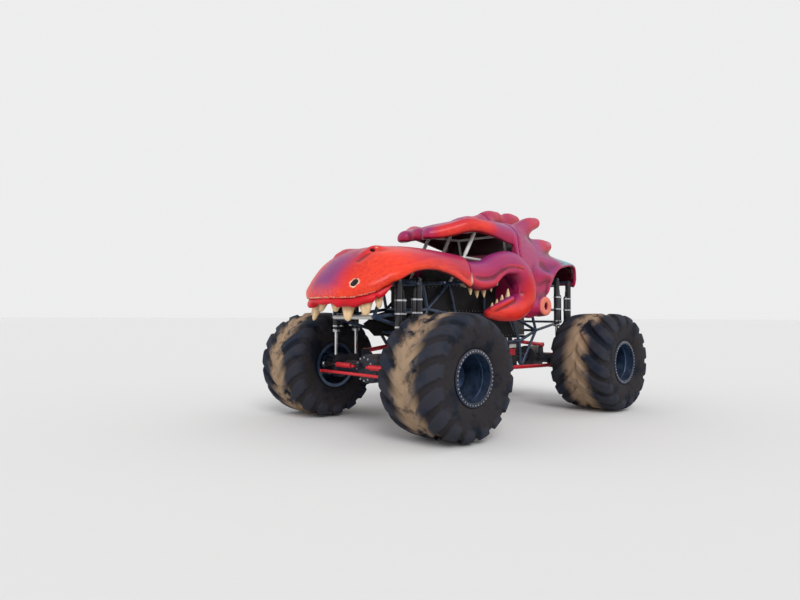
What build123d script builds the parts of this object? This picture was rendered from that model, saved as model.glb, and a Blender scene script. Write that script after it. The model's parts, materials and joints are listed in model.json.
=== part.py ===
"""Monster truck with a horned beast body, in millimetres.

+X is forward, +Y is the truck's left and +Z is up. The origin is on the ground, under the middle of
the truck's length. Inside this file x is counted from the middle of the wheelbase, and save() moves
each piece to the origin.
"""

import os
from math import cos, hypot, pi, radians, sin

from build123d import *

# Running gear. The x of places along the truck is for design_wheelbase, and stretches with the wheelbase
wheelbase = 3860
design_wheelbase = 3860
stretch = wheelbase / design_wheelbase
track = 2800
tyre_radius = 820
tyre_width = 1040
tread_width = 900
lug_height = 46
lug_width = 78
lug_skew = 45
lugs_per_side = 16
tyre_sides = 20

rim_radius = 317.5
rim_width = 914
rim_wall = 14
flange_radius = 350
flange_thickness = 18
disc_thickness = 30
disc_inset = 55
drum_radius = 165
drum_proud = 150
drum_reach = 300
spindle_radius = 75
running_clearance = 0.05

# Steering
kingpin_offset = 470
kingpin_radius = 30
knuckle_radius = 80
knuckle_height = 260
yoke_gap = 8
ear_thickness = 40
ear_radius = 62
tie_forward = 360
tie_inboard = 100
tie_drop = 64
tie_radius = 22
ram_forward = 280
ram_inboard = 50
ram_rise = 40
ram_base_y = 160
ram_barrel_radius = 38
ram_bore_radius = 30
ram_rod_radius = 20
ram_barrel_start = 45
ram_barrel_end = 380
ram_gland = 50
ram_piston_at = 190
ram_piston = 22
eye_thickness = 34
eye_gap = 6
arm_thickness = 30

# Axles and links
axle_tube_radius = 90
diff_radius = 210
diff_width = 300
pinion_radius = 80
pinion_reach = 330
link_radius = 32
link_eye_radius = 40
link_eye_width = 50
link_pin_radius = 16
pin_clearance = 0.1
side_gap = 4
lower_link_y = 515
lower_link_axle = (110, 700)
lower_link_frame_x = 650 * stretch
upper_link_axle = (60, 1060)
upper_link_axle_y = 300
upper_link_frame_y = 384
shock_y = 695
shock_spacing = 190
shock_low_z = 965
shock_body_radius = 50
shock_shaft_radius = 26
shock_shaft_share = 0.36
shock_eye_radius = 36
shock_eye_width = 36
hoop_reach = 730

# Tube frame
frame_y = 450
tube_radius = 25
cross_radius = 22
cage_radius = 22
ball_share = 1.14
belly_z = 720
low_z = 1150
mid_z = 1600
top_z = 2080
cage_y = 500
cage_z = 2930
panel_thickness = 8
panel_gap = 0.2

# Body
skin = 12
seam_at = 880
seam_gap = 6
roof_joint_at = -450
gum_thickness = 130
gum_start_x = 2300 * stretch
gum_drop = 110
tooth_root_z = 1800
tooth_tip_share = 0.4
jaw_y = 780
boss_radius = 165
boss_hole_radius = 46
boss_at = -1040
boss_z = 1740
boss_reach = 950
boss_root_y = 640
boss_hole_depth = 150
mount_radius = 18
mount_front_at = (1000, 1410, 1930)
mount_rear_at = (-1500, -1930)
fit = 0.3

# Power train and cab
engine_size = (650, 500, 550)
engine_front_x = -735 * stretch
blower_size = (420, 260, 280)
case_size = (400, 320, 505)
gearbox_radius = 150
shaft_radius = 45
fuel_size = (450, 600, 270)
floor_size = (1300, 800)
seat_width = 520
seat_depth = 480
panel_reach = 920 * stretch
dash_thickness = 40
column_reach = 230

axle_x = wheelbase / 2
hub_z = tyre_radius
wheel_y = track / 2
kingpin_y = wheel_y - kingpin_offset
knuckle_half = knuckle_height / 2
tie_z = hub_z - tie_drop
ram_z = hub_z + ram_rise
seam_x = seam_at * stretch
roof_joint_x = roof_joint_at * stretch
boss_x = boss_at * stretch


def stretched(rows):
    """Table rows with x, their first column, stretched with the wheelbase."""
    return [(row[0] * stretch, *row[1:]) for row in rows]


# Side view of the tube frame: name, x, z. point() stretches x
FRAME_POINTS = {
    "nose": (2350, 1560),
    "brow": (2150, 2000),
    "knee_front": (1450, 1330),
    "low_front": (950, low_z),
    "belly_front": (1000, belly_z),
    "mid_nose": (1320, 1680),
    "mid_front": (700, mid_z),
    "top_nose": (1410, 2050),
    "top_front": (850, top_z),
    "belly": (0, belly_z),
    "low": (0, low_z),
    "mid": (0, mid_z),
    "top": (0, top_z),
    "belly_rear": (-1000, belly_z),
    "low_rear": (-950, low_z),
    "mid_rear": (-700, mid_z),
    "top_rear": (-600, 2120),
    "knee_rear": (-1450, 1330),
    "mid_tail": (-1300, 1700),
    "top_tail": (-1500, 2200),
    "tail_low": (-2250, 1480),
    "tail_mid": (-2200, 1700),
    "tail_top": (-2150, 2150),
}
FRAME_TUBES = """
nose knee_front, knee_front low_front, low_front low, low low_rear, low_rear knee_rear, knee_rear tail_low,
knee_front belly_front, belly_front belly, belly belly_rear, belly_rear knee_rear,
belly_front low_front, belly low, belly_rear low_rear,
nose brow, nose mid_nose, brow top_nose, top_nose top_front, mid_nose top_nose, mid_nose top_front,
knee_front mid_nose, mid_nose mid_front, knee_front mid_front, low_front mid_front, mid_front mid,
mid mid_rear, low mid, low_rear mid_rear, mid_front top_front, top_front top, mid top, top top_rear,
mid_rear top_rear, knee_rear mid_rear, mid_rear mid_tail, knee_rear mid_tail, mid_tail top_rear,
mid_tail top_tail, top_rear top_tail, mid_tail tail_mid, tail_low tail_mid, tail_mid tail_top,
top_tail tail_top
"""

# Side view of the roll cage: windscreen foot x and z, roof front and rear x, rear belt x and z
CAGE_FRONT = (560 * stretch, 2490)
CAGE_TOP = (290 * stretch, -450 * stretch)
CAGE_BELT = (-560 * stretch, 2450)

# Body sections: x, lip y, lip z, cheek y, cheek z, ridge y, ridge z, crown z
SNOUT = stretched([
    (seam_at, 880, 1920, 930, 2150, 820, 2380, 2560),
    (1250, 890, 2120, 930, 2290, 820, 2440, 2600),
    (1650, 900, 2190, 930, 2330, 800, 2450, 2620),
    (2000, 890, 2080, 920, 2240, 720, 2440, 2590),
    (2300, 840, 1930, 860, 2120, 600, 2390, 2520),
    (2550, 740, 1810, 750, 2010, 480, 2250, 2370),
    (2750, 560, 1760, 565, 1940, 330, 2090, 2170),
    (2880, 330, 1760, 328, 1880, 190, 1960, 2000),
    (2930, 150, 1775, 148, 1840, 90, 1890, 1905),
])
REAR = stretched([
    (-2200, 800, 2080, 820, 2300, 600, 2500, 2570),
    (-2050, 850, 2440, 870, 2500, 620, 2580, 2640),
    (-1700, 880, 2440, 905, 2510, 640, 2630, 2720),
    (-1400, 880, 2300, 910, 2420, 650, 2670, 2850),
    (-1100, 870, 1880, 900, 2250, 690, 2740, 3000),
    (-800, 850, 1560, 900, 2150, 720, 2850, 3150),
    (roof_joint_at, 830, 1600, 900, 2200, 780, 2900, 3230),
])
# Roof sections: x, half width, brow bottom z, brow top z, crown z
ROOF = stretched([
    (roof_joint_at, 780, 2640, 2900, 3230),
    (-200, 790, 2680, 2980, 3220),
    (150, 750, 2800, 3040, 3190),
    (520, 690, 2870, 3040, 3120),
    (800, 450, 2810, 2960, 3050),
    (1050, 260, 2760, 2900, 2990),
    (1300, 200, 2740, 2890, 2940),
])
# The jaw's curl: x, z, half thickness, half width
JAW = stretched([
    (seam_at + 80, 2130, 205, 160),
    (500, 2230, 175, 175),
    (150, 2385, 190, 190),
    (-150, 2405, 215, 200),
    (-390, 2210, 228, 210),
    (-430, 1930, 215, 205),
    (-260, 1725, 190, 190),
    (50, 1660, 150, 170),
    (400, 1640, 108, 140),
    (720, 1620, 55, 90),
])
# Crest humps and horns as chains of ovals: x, y, z, half width, half thickness
HUMPS = [
    stretched([(-420, 0, 3130, 150, 230), (-640, 0, 3300, 130, 180), (-820, 0, 3385, 70, 70)]),
    stretched([(-880, 0, 3050, 140, 250), (-1120, 0, 3270, 120, 190), (-1290, 0, 3395, 70, 85)]),
]
HORNS = [
    stretched([(-900, 420, 2950, 150, 230), (-1230, 440, 3080, 130, 170), (-1480, 450, 3150, 100, 90)]),
    stretched([(-1250, 470, 2700, 140, 190), (-1530, 490, 2790, 120, 140), (-1770, 500, 2830, 85, 75)]),
]
# Cheeks, from inside the jaw back to the cut horn's stump
CHEEK = stretched([
    (-560, 760, 1760, 150, 190),
    (-800, 770, 1750, 160, 180),
    (boss_at, 780, boss_z, 160, boss_radius),
])
# Snout fangs, left side: x, y, tip z, base radius
FANGS = stretched([
    (2790, 160, 1635, 72),
    (2730, 365, 1515, 92),
    (2575, 590, 1585, 78),
    (2450, 690, 1680, 54),
])
# Jaw teeth: x, base z, tip z, base radius
JAW_TEETH = stretched([
    (790, 1990, 1900, 30),
    (640, 2010, 1890, 34),
    (480, 2080, 1930, 36),
    (310, 2160, 2030, 36),
    (640, 1640, 1740, 28),
    (500, 1670, 1850, 34),
    (330, 1690, 1910, 38),
    (130, 1720, 2000, 46),
])

nose_x = SNOUT[-1][0]
tail_x = -(axle_x + tyre_radius)
middle_x = (nose_x + tail_x) / 2


def save(name, shape):
    """Writes one node's STEP file, moved to the truck's origin."""
    export_step(Pos(-middle_x, 0, 0) * Compound(shape.solids()), f"parts/{name}.step")


def joined(pieces):
    return Part() + list(pieces)


def apart(pieces):
    """Like pieces of one node that don't touch each other."""
    return Compound([solid for piece in pieces for solid in piece.solids()])


def less(shape, *others):
    for other in others:
        shape = Compound(shape.solids()) - Compound(other.solids())
    return shape


def rod(start, end, radius):
    """A round bar from one point to another."""
    start, end = Vector(*start), Vector(*end)
    return Solid.make_cylinder(radius, (end - start).length, Plane(origin=start, z_dir=end - start))


def across(x, z, radius, y_from, y_to):
    return rod((x, y_from, z), (x, y_to, z), radius)


def block(low, high):
    """A box between two corners."""
    size = [b - a for a, b in zip(low, high)]
    return Pos(*low) * Box(*size, align=(Align.MIN, Align.MIN, Align.MIN))


def upright(x, y, low, high, radius):
    return rod((x, y, low), (x, y, high), radius)


def mirrored(shape):
    return mirror(shape, about=Plane.XZ)


def flat_ring(radius, sides, y):
    """A closed polygon about the wheel's axis, with a flat at the bottom."""
    corner = radius / cos(pi / sides)
    turns = [2 * pi * (step + 0.5) / sides for step in range(sides)]
    points = [Vector(corner * sin(turn), y, -corner * cos(turn)) for turn in turns]
    return Face(Wire.make_polygon(points, close=True))


def tyre():
    """The tyre about its own centre, its axis along Y."""
    carcass = tyre_radius - lug_height
    half, tread = tyre_width / 2, tread_width / 2
    seat = rim_width / 2 - flange_thickness
    profile = [(seat, flange_radius + 1), (half - 22, flange_radius + 75), (half, carcass * 0.73)]
    profile += [(half - 14, carcass * 0.88), (tread, carcass * 0.98)]
    rings = [flat_ring(radius, tyre_sides, -y) for y, radius in profile]
    rings += [flat_ring(radius, tyre_sides, y) for y, radius in reversed(profile)]
    body = loft(rings, ruled=True)
    lugs = []
    for side in (1, -1):
        for step in range(lugs_per_side):
            turn = 360 / lugs_per_side * (step + side / 4)
            lugs.append(Rot(0, turn, 0) * lug(side))
    bore = loft([flat_ring(rim_radius + fit, tyre_sides, y) for y in (-half, half)], ruled=True)
    return joined([body] + lugs) - bore


def lug(side):
    """One tread bar at the top of the tyre, slanting from the shoulder to the middle."""
    inner, outer = 20, tread_width / 2 + 30
    length = (outer - inner) / cos(radians(lug_skew)) * 0.93
    reach = (length * sin(radians(lug_skew)) + lug_width * cos(radians(lug_skew))) / 2
    crest = (tyre_radius**2 - reach**2) ** 0.5
    bar = Pos(0, 0, crest - lug_height) * Box(lug_width, length, 2 * lug_height)
    taper = Rot(0, 0, side * lug_skew) * bar
    return Pos(0, side * (inner + outer) / 2, 0) * taper


def rim():
    """Barrel, bead flanges, sunk disc and hub drum about the wheel's centre, outboard towards +Y."""
    half = rim_width / 2
    barrel = across(0, 0, rim_radius, -half, half)
    flanges = [across(0, 0, flange_radius, side * half, side * (half - flange_thickness)) for side in (1, -1)]
    inner = rim_radius - rim_wall
    shell = joined([barrel] + flanges) - across(0, 0, inner, -half - 1, half + 1)
    disc = across(0, 0, inner + rim_wall / 2, -disc_inset - disc_thickness, -disc_inset)
    drum = across(0, 0, drum_radius, -drum_reach, drum_proud)
    bore = across(0, 0, spindle_radius + running_clearance, -drum_reach - 1, -disc_inset + 20)
    return joined([shell, disc, drum]) - bore


def knuckle():
    """Left front knuckle about its kingpin at hub height: housing, spindle and both steering arms."""
    pin = upright(0, 0, -knuckle_half - yoke_gap - ear_thickness, knuckle_half + yoke_gap + ear_thickness,
                  kingpin_radius)
    housing = upright(0, 0, -knuckle_half, knuckle_half, knuckle_radius)
    boss = across(0, 0, knuckle_radius + 30, 0, kingpin_offset - drum_reach - 20)
    spindle = across(0, 0, spindle_radius, 0, kingpin_offset - disc_inset)
    tie_pad = -tie_drop - eye_thickness / 2 - eye_gap
    ram_pad = ram_rise - eye_thickness / 2 - eye_gap
    arms = [arm(tie_forward, tie_inboard, tie_pad), arm(ram_forward, ram_inboard, ram_pad)]
    return joined([pin, housing, boss, spindle] + arms)


def arm(forward, inboard, top):
    """A steering arm that ends in a round pad."""
    pad = upright(forward, -inboard, top - arm_thickness, top, 32)
    blade = Polyline((40, -40), (110, -45), (forward, -inboard - 26), (forward, -inboard + 26), (120, 25), (40, 40),
                     close=True)
    bar = extrude(make_face(blade), amount=arm_thickness)
    return joined([Pos(0, 0, top - arm_thickness) * bar, pad])


def tie_stud():
    """The stud on the left arm's pad that the tie rod turns on."""
    low = -tie_drop - eye_thickness / 2 - eye_gap
    return upright(tie_forward, -tie_inboard, low - 1, low + eye_gap + eye_thickness, 14)


def tie_rod():
    """Tie rod between the two arms' pads, in the front axle's own place."""
    y = kingpin_y - tie_inboard
    half = eye_thickness / 2
    bar = across(tie_forward, 0, tie_radius, -y + 20, y - 20)
    eyes = [upright(tie_forward, side * y, -half, half, 30) for side in (1, -1)]
    bore = upright(tie_forward, y, -half - 1, half + 1, 14 + running_clearance)
    return Pos(0, 0, tie_z) * (joined([bar] + eyes) - bore)


def ram_cylinder():
    """Left steering cylinder, from its base eye on the axle outwards."""
    half = eye_thickness / 2
    start, end = ram_base_y + ram_barrel_start, ram_base_y + ram_barrel_end
    eye = upright(ram_forward, ram_base_y, -half, half, 28)
    neck = across(ram_forward, 0, 16, ram_base_y, start)
    barrel = across(ram_forward, 0, ram_barrel_radius, start, end)
    chamber = across(ram_forward, 0, ram_bore_radius, start + 15, end - ram_gland)
    gland = across(ram_forward, 0, ram_rod_radius + running_clearance, start + 20, end + 1)
    pin = upright(ram_forward, ram_base_y, -half - 1, half + 1, 12 + running_clearance)
    return Pos(0, 0, ram_z) * (joined([eye, neck, barrel]) - chamber - gland - pin)


def ram_rod():
    """Left steering cylinder's rod, out to its eye above the knuckle's arm."""
    half = eye_thickness / 2
    end = kingpin_y - ram_inboard
    start = ram_base_y + ram_piston_at
    bar = across(ram_forward, 0, ram_rod_radius, start, end)
    piston = across(ram_forward, 0, ram_bore_radius - running_clearance, start, start + ram_piston)
    eye = upright(ram_forward, end, -half, half, 30)
    return Pos(0, 0, ram_z) * joined([bar, piston, eye])


def axle():
    """Front axle about x = 0: differential, tubes, yokes and every bracket."""
    parts = [across(0, hub_z, axle_tube_radius, -kingpin_y + 130, kingpin_y - 130)]
    parts.append(rod((-diff_width / 2, 0, hub_z), (diff_width / 2, 0, hub_z), diff_radius))
    parts.append(rod((-pinion_reach, 0, hub_z), (0, 0, hub_z), pinion_radius))
    ear_low = knuckle_half + yoke_gap
    ear_high = ear_low + ear_thickness
    plate_low = eye_thickness / 2 + 5
    for side in (1, -1):
        back = block((-55, kingpin_y - 165, hub_z - ear_high), (55, kingpin_y - 120, hub_z + ear_high))
        ears = []
        for low, high in ((ear_low, ear_high), (-ear_high, -ear_low)):
            ears.append(block((-55, kingpin_y - 140, hub_z + low), (55, kingpin_y, hub_z + high)))
            ears.append(upright(0, kingpin_y, hub_z + low, hub_z + high, ear_radius))
        pieces = [back] + ears
        for low in (-plate_low - 13, plate_low):
            plate = block((diff_width / 2 - 60, ram_base_y - 38, ram_z + low),
                          (ram_forward + 26, ram_base_y + 32, ram_z + low + 13))
            pieces.append(plate)
        pieces.append(upright(ram_forward, ram_base_y, ram_z - plate_low - 1, ram_z + plate_low + 1, 12))
        wing = Polyline((-shock_spacing - 30, shock_low_z + 30), (-shock_spacing - 30, shock_low_z - 35),
                        (-70, hub_z - 20), (70, hub_z - 20), (shock_spacing + 30, shock_low_z - 35),
                        (shock_spacing + 30, shock_low_z + 30), close=True)
        inner = shock_y - shock_shaft_radius - side_gap
        pieces.append(Pos(0, inner, 0) * extrude(Plane.XZ * make_face(wing), amount=16))
        for x in (-shock_spacing, shock_spacing):
            pieces.append(across(x, shock_low_z, link_pin_radius, inner - 8, shock_y + shock_eye_width / 2))
        x, z = lower_link_axle
        inner = lower_link_y - link_radius - side_gap
        pieces.append(block((-x - 35, inner - 16, z - 35), (30, inner, hub_z)))
        pieces.append(across(-x, z, link_pin_radius, inner - 8, inner + 2 * link_radius))
        x, z = upper_link_axle
        inner = upper_link_axle_y - link_radius - side_gap
        pieces.append(block((-x - 35, inner - 16, hub_z), (35, inner, z + 35)))
        pieces.append(across(-x, z, link_pin_radius, inner - 8, inner + 2 * link_radius))
        parts += pieces if side > 0 else [mirrored(piece) for piece in pieces]
    bores = [upright(0, side * kingpin_y, hub_z - ear_high - 1, hub_z + ear_high + 1,
                     kingpin_radius + running_clearance) for side in (1, -1)]
    return less(joined(parts), *bores)


def at_axle(shape, end):
    """Moves a piece made for the front axle at x = 0 to one end of the truck."""
    turned = shape if end > 0 else mirror(shape, about=Plane.YZ)
    return Pos(end * axle_x, 0, 0) * turned


def point(name, y=0):
    x, z = FRAME_POINTS[name]
    return (x * stretch, y, z)


def frame_side():
    """The left side of the tube frame, with the stub pins of the link bars."""
    tubes = []
    for pair in FRAME_TUBES.replace("\n", " ").split(","):
        start, end = pair.split()
        tubes.append(rod(point(start, frame_y), point(end, frame_y), tube_radius))
    balls = [Pos(*point(name, frame_y)) * Sphere(tube_radius * ball_share) for name in FRAME_POINTS]
    pins = []
    for end in (1, -1):
        out = lower_link_y + link_eye_width / 2 + 2
        pins.append(across(end * lower_link_frame_x, belly_z, link_pin_radius, frame_y, out))
        low = point("low_front" if end > 0 else "low_rear")
        inner = upper_link_frame_y - link_eye_width / 2 - 2
        pins.append(across(low[0], low[2], link_pin_radius, inner, frame_y))
    return joined(tubes + balls + pins)


CROSS_POINTS = ["nose", "brow", "knee_front", "belly_front", "mid_nose", "top_nose", "mid_front", "mid", "mid_rear",
                "belly_rear", "knee_rear", "tail_low", "tail_top", "top_tail"]
engine_z = 1250
case_x = -50 * stretch
fuel_x = (-1600 * stretch, -2000 * stretch)


def on_tube(start, end, z):
    """The x at which a frame tube passes a height."""
    (x0, _, z0), (x1, _, z1) = point(start), point(end)
    return x0 + (x1 - x0) * (z - z0) / (z1 - z0)


def rail_z(x):
    """Height of the frame's top rail at an x."""
    rail = [point(name) for name in ("brow", "top_nose", "top_front", "top", "top_rear", "top_tail", "tail_top")]
    for (x0, _, z0), (x1, _, z1) in zip(rail, rail[1:]):
        if x1 <= x <= x0:
            return z0 + (z1 - z0) * (x - x0) / (x1 - x0)
    raise ValueError("x is off the top rail")


def cross_tubes(sides):
    """Tubes between the two side frames, coped to them."""
    places = [point(name)[::2] for name in CROSS_POINTS]
    rest = engine_z - cross_radius
    places += [(on_tube("low_rear", "mid_rear", rest), rest), (on_tube("low_rear", "knee_rear", rest), rest)]
    places += [(x, FRAME_POINTS["tail_mid"][1]) for x in fuel_x]
    places += [(x, belly_z) for x in (case_x - case_size[0] / 2 + 60, case_x + case_size[0] / 2 - 60)]
    return [less(across(x, z, cross_radius, -frame_y, frame_y), *sides) for x, z in places]


def shock_tops(end):
    """The x and z of the two shock hoops of one axle, just above the top rail."""
    places = [end * axle_x + offset for offset in (-shock_spacing, shock_spacing)]
    return [(x, rail_z(x) + 2 * tube_radius + fit) for x in places]


def shock_hoops():
    hoops = []
    for end in (1, -1):
        for x, z in shock_tops(end):
            hoops.append(across(x, z, tube_radius, -hoop_reach, hoop_reach))
    return hoops


def shocks():
    """Shock bodies with their top eyes, and shafts with their bottom eyes."""
    bodies, shafts = [], []
    for end in (1, -1):
        for x, top in shock_tops(end):
            low = shock_low_z
            split = low + (top - low) * shock_shaft_share
            width = shock_eye_width / 2
            for y in (shock_y, -shock_y):
                eye = across(x, top, shock_eye_radius, y - width, y + width)
                tube = upright(x, y, split, top, shock_body_radius)
                hole = across(x, top, tube_radius + pin_clearance, y - 60, y + 60)
                bodies.append(joined([eye, tube]) - hole)
                foot = across(x, low, shock_eye_radius, y - width, y + width)
                shaft = upright(x, y, low, split, shock_shaft_radius)
                hole = across(x, low, link_pin_radius + pin_clearance, y - 60, y + 60)
                shafts.append(joined([foot, shaft]) - hole)
    return bodies, shafts


def link(start, end):
    """A link bar with an eye at each end, both along Y."""
    eyes = [across(x, z, link_eye_radius, y - link_eye_width / 2, y + link_eye_width / 2) for x, y, z in (start, end)]
    holes = [across(x, z, link_pin_radius + pin_clearance, y - 60, y + 60) for x, y, z in (start, end)]
    return joined([rod(start, end, link_radius)] + eyes) - holes[0] - holes[1]


def links():
    bars = []
    for end in (1, -1):
        for side in (1, -1):
            x, z = lower_link_axle
            bars.append(link((end * lower_link_frame_x, side * lower_link_y, belly_z),
                             (end * (axle_x - x), side * lower_link_y, z)))
            low = point("low_front" if end > 0 else "low_rear")
            x, z = upper_link_axle
            bars.append(link((low[0], side * upper_link_frame_y, low[2]),
                             (end * (axle_x - x), side * upper_link_axle_y, z)))
    return bars


def cage(sides):
    """Roll cage and windscreen bars above the side frames."""
    tubes = []
    knots = set()
    front_low, front_top = (CAGE_FRONT[0], cage_y, CAGE_FRONT[1]), (CAGE_TOP[0], cage_y, cage_z)
    rear_top = (CAGE_TOP[1], cage_y, cage_z)
    belt = (CAGE_BELT[0], cage_y - 20, CAGE_BELT[1])
    for side in (1, -1):
        def to(place):
            return (place[0], side * place[1], place[2])

        chain = [point("top_front", frame_y), front_low, front_top, rear_top, belt, point("top_rear", frame_y)]
        pairs = list(zip(chain, chain[1:])) + [(front_low, belt), (belt, rear_top)]
        tubes += [rod(to(a), to(b), cage_radius) for a, b in pairs[:-1]]
        knots |= {to(place) for place in chain[1:-1]}
    for place in (front_low, front_top, rear_top):
        tubes.append(across(place[0], place[2], cage_radius, -place[1], place[1]))
    tubes.append(rod((front_low[0], 0, front_low[2]), (front_top[0], 0, front_top[2]), cage_radius))
    balls = [Pos(*place) * Sphere(cage_radius * ball_share) for place in knots]
    return less(joined(tubes + balls), *sides)


def arc_centre(a, b, c):
    """Centre of the circle through three points given as (y, z)."""
    (ay, az), (by, bz), (cy, cz) = a, b, c
    turn = 2 * (ay * (bz - cz) + by * (cz - az) + cy * (az - bz))
    squares = [y * y + z * z for y, z in (a, b, c)]
    y = (squares[0] * (bz - cz) + squares[1] * (cz - az) + squares[2] * (az - bz)) / turn
    z = (squares[0] * (cy - by) + squares[1] * (ay - cy) + squares[2] * (by - ay)) / turn
    return y, z


def body_section(x, lip_y, lip_z, cheek_y, cheek_z, ridge_y, ridge_z, crown_z, inset=0, drop=0):
    """One closed section of the body: flat below, an arc up each side and one over the crown.

    inset moves the arcs inwards, and drop carries the section straight down from its lips.
    """
    side = [(lip_y, lip_z), (cheek_y, cheek_z), (ridge_y, ridge_z)]
    centre_y, centre_z = arc_centre(*side)
    inner = []
    for y, z in side:
        share = 1 - inset / hypot(y - centre_y, z - centre_z)
        inner.append((x, centre_y + (y - centre_y) * share, centre_z + (z - centre_z) * share))
    lip, cheek, ridge = inner
    low = (x, lip[1], lip[2] - drop)

    def over(place):
        return (place[0], -place[1], place[2])

    edges = [Edge.make_line(over(low), low)]
    if drop:
        edges += [Edge.make_line(low, lip), Edge.make_line(over(lip), over(low))]
    edges += [
        Edge.make_three_point_arc(lip, cheek, ridge),
        Edge.make_three_point_arc(ridge, (x, 0, crown_z - inset), over(ridge)),
        Edge.make_three_point_arc(over(ridge), over(cheek), over(lip)),
    ]
    return Face(Wire(edges))


def roof_section(x, half, low, side, crown, inset=0, drop=0):
    corners = [(x, -half + inset, low - drop), (x, half - inset, low - drop), (x, half - inset, side - inset)]
    last = (x, -half + inset, side - inset)
    edges = [
        Edge.make_line(corners[0], corners[1]),
        Edge.make_line(corners[1], corners[2]),
        Edge.make_three_point_arc(corners[2], (x, 0, crown - inset), last),
        Edge.make_line(last, corners[0]),
    ]
    return Face(Wire(edges))


def hull(section, rows, inset=0, drop=0, grow=(0, 0)):
    """Loft through a table of sections. grow moves the first and the last section along X."""
    moved = [list(row) for row in rows]
    moved[0][0] += grow[0]
    moved[-1][0] += grow[1]
    return loft([section(*row, inset=inset, drop=drop) for row in moved], ruled=True)


def horn(rows):
    """A chain of ovals along a bent line: x, y, z, half width, half thickness."""
    places = [Vector(*row[:3]) for row in rows]
    faces = []
    for index, row in enumerate(rows):
        ahead = places[min(index + 1, len(rows) - 1)] - places[max(index - 1, 0)]
        plane = Plane(origin=places[index], x_dir=(0, 1, 0), z_dir=ahead.normalized())
        faces.append(plane * Ellipse(row[3], row[4]))
    return loft([part.face() for part in faces], ruled=True)


def jaw(grow=0):
    """Left cheek and jaw: a fat curl that ends in the lower jaw's tip."""
    rows = [(x, jaw_y, z, wide + grow, thick + grow) for x, z, thick, wide in JAW]
    ahead = block((seam_x - seam_gap, 0, mid_z), (seam_x + 600, track, cage_z))
    return less(horn(rows), ahead)


def fang(x, y, base_z, tip_z, radius):
    height = base_z - tip_z
    cone = Solid.make_cone(radius, radius * tooth_tip_share, abs(height))
    turned = Rot(180, 0, 0) * cone if height > 0 else cone
    return Pos(x, y, base_z) * turned


os.makedirs("parts", exist_ok=True)

# Wheels, knuckles and steering, one set for each axle
tyre_solid, rim_solid, knuckle_solid = tyre(), rim(), knuckle()
stud, tie, cylinder, ram = tie_stud(), tie_rod(), ram_cylinder(), ram_rod()
axle_solid = axle()
for end, end_name in ((1, "front"), (-1, "rear")):
    save(f"{end_name}_axle", at_axle(axle_solid, end))
    save(f"tie_rod_{end_name}", at_axle(tie, end))
    for side, side_name in ((1, "left"), (-1, "right")):
        def place(shape):
            return at_axle(shape if side > 0 else mirrored(shape), end)

        corner = f"{end_name}_{side_name}"
        own = joined([knuckle_solid, stud]) if side > 0 else knuckle_solid
        save(f"tyre_{corner}", place(Pos(0, wheel_y, hub_z) * tyre_solid))
        save(f"rim_{corner}", place(Pos(0, wheel_y, hub_z) * rim_solid))
        save(f"knuckle_{corner}", place(Pos(0, kingpin_y, hub_z) * own))
        save(f"ram_cylinder_{corner}", place(cylinder))
        save(f"ram_rod_{corner}", place(ram))

# Frame, cage, links and shocks
left = frame_side()
sides = [left, mirrored(left)]
save("frame_left", left)
save("frame_right", sides[1])
crossings = cross_tubes(sides) + shock_hoops()
save("frame_cross", apart(crossings))
cage_solid = cage(sides)
save("cab_cage", cage_solid)
save("link_bars", apart(links()))
shock_bodies, shock_shafts = shocks()
save("shock_bodies", apart(shock_bodies))
save("shock_shafts", apart(shock_shafts))

# Power train
length, width, height = engine_size
back = engine_front_x - length
engine = block((back, -width / 2, engine_z), (engine_front_x, width / 2, engine_z + height))
length, width, height = blower_size
top = engine_z + engine_size[2]
blower = block((back + 110, -width / 2, top - 1), (back + 110 + length, width / 2, top + height))
save("engine", joined([engine, blower]))
length, width, height = case_size
case_low = belly_z + cross_radius
case = block((case_x - length / 2, -width / 2, case_low), (case_x + length / 2, width / 2, case_low + height))
gearbox_z = case_low + height + 60
case_top = upright(case_x, 0, case_low + height - 1, gearbox_z, gearbox_radius * 0.9)
gearbox = rod((engine_front_x, 0, gearbox_z), (case_x + gearbox_radius * 0.9, 0, gearbox_z), gearbox_radius)
save("driveline", joined([case, case_top, gearbox]))
output_z = case_low + 180
shafts = []
for end in (1, -1):
    start = (case_x + end * length / 2, 0, output_z)
    finish = (end * (axle_x - pinion_reach), 0, hub_z)
    neck = (start[0] + end * 70, 0, output_z)
    flange = (finish[0] - end * 70, 0, hub_z)
    pieces = [rod(start, neck, 70), rod(neck, flange, shaft_radius), rod(flange, finish, 70)]
    shafts.append(joined(pieces))
save("driveshafts", apart(shafts))
length, width, height = fuel_size
tank_z = FRAME_POINTS["tail_mid"][1] + cross_radius
tank_x = sum(fuel_x) / 2
save("fuel_cell", block((tank_x - length / 2, -width / 2, tank_z), (tank_x + length / 2, width / 2, tank_z + height)))
plates = []
for side in (1, -1):
    outer = frame_y - tube_radius - panel_gap
    plate = block((-panel_reach, outer - panel_thickness, belly_z + 30), (panel_reach, outer, low_z - 30))
    plates.append(plate if side > 0 else mirrored(plate))
save("side_panels", apart(plates))

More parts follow.
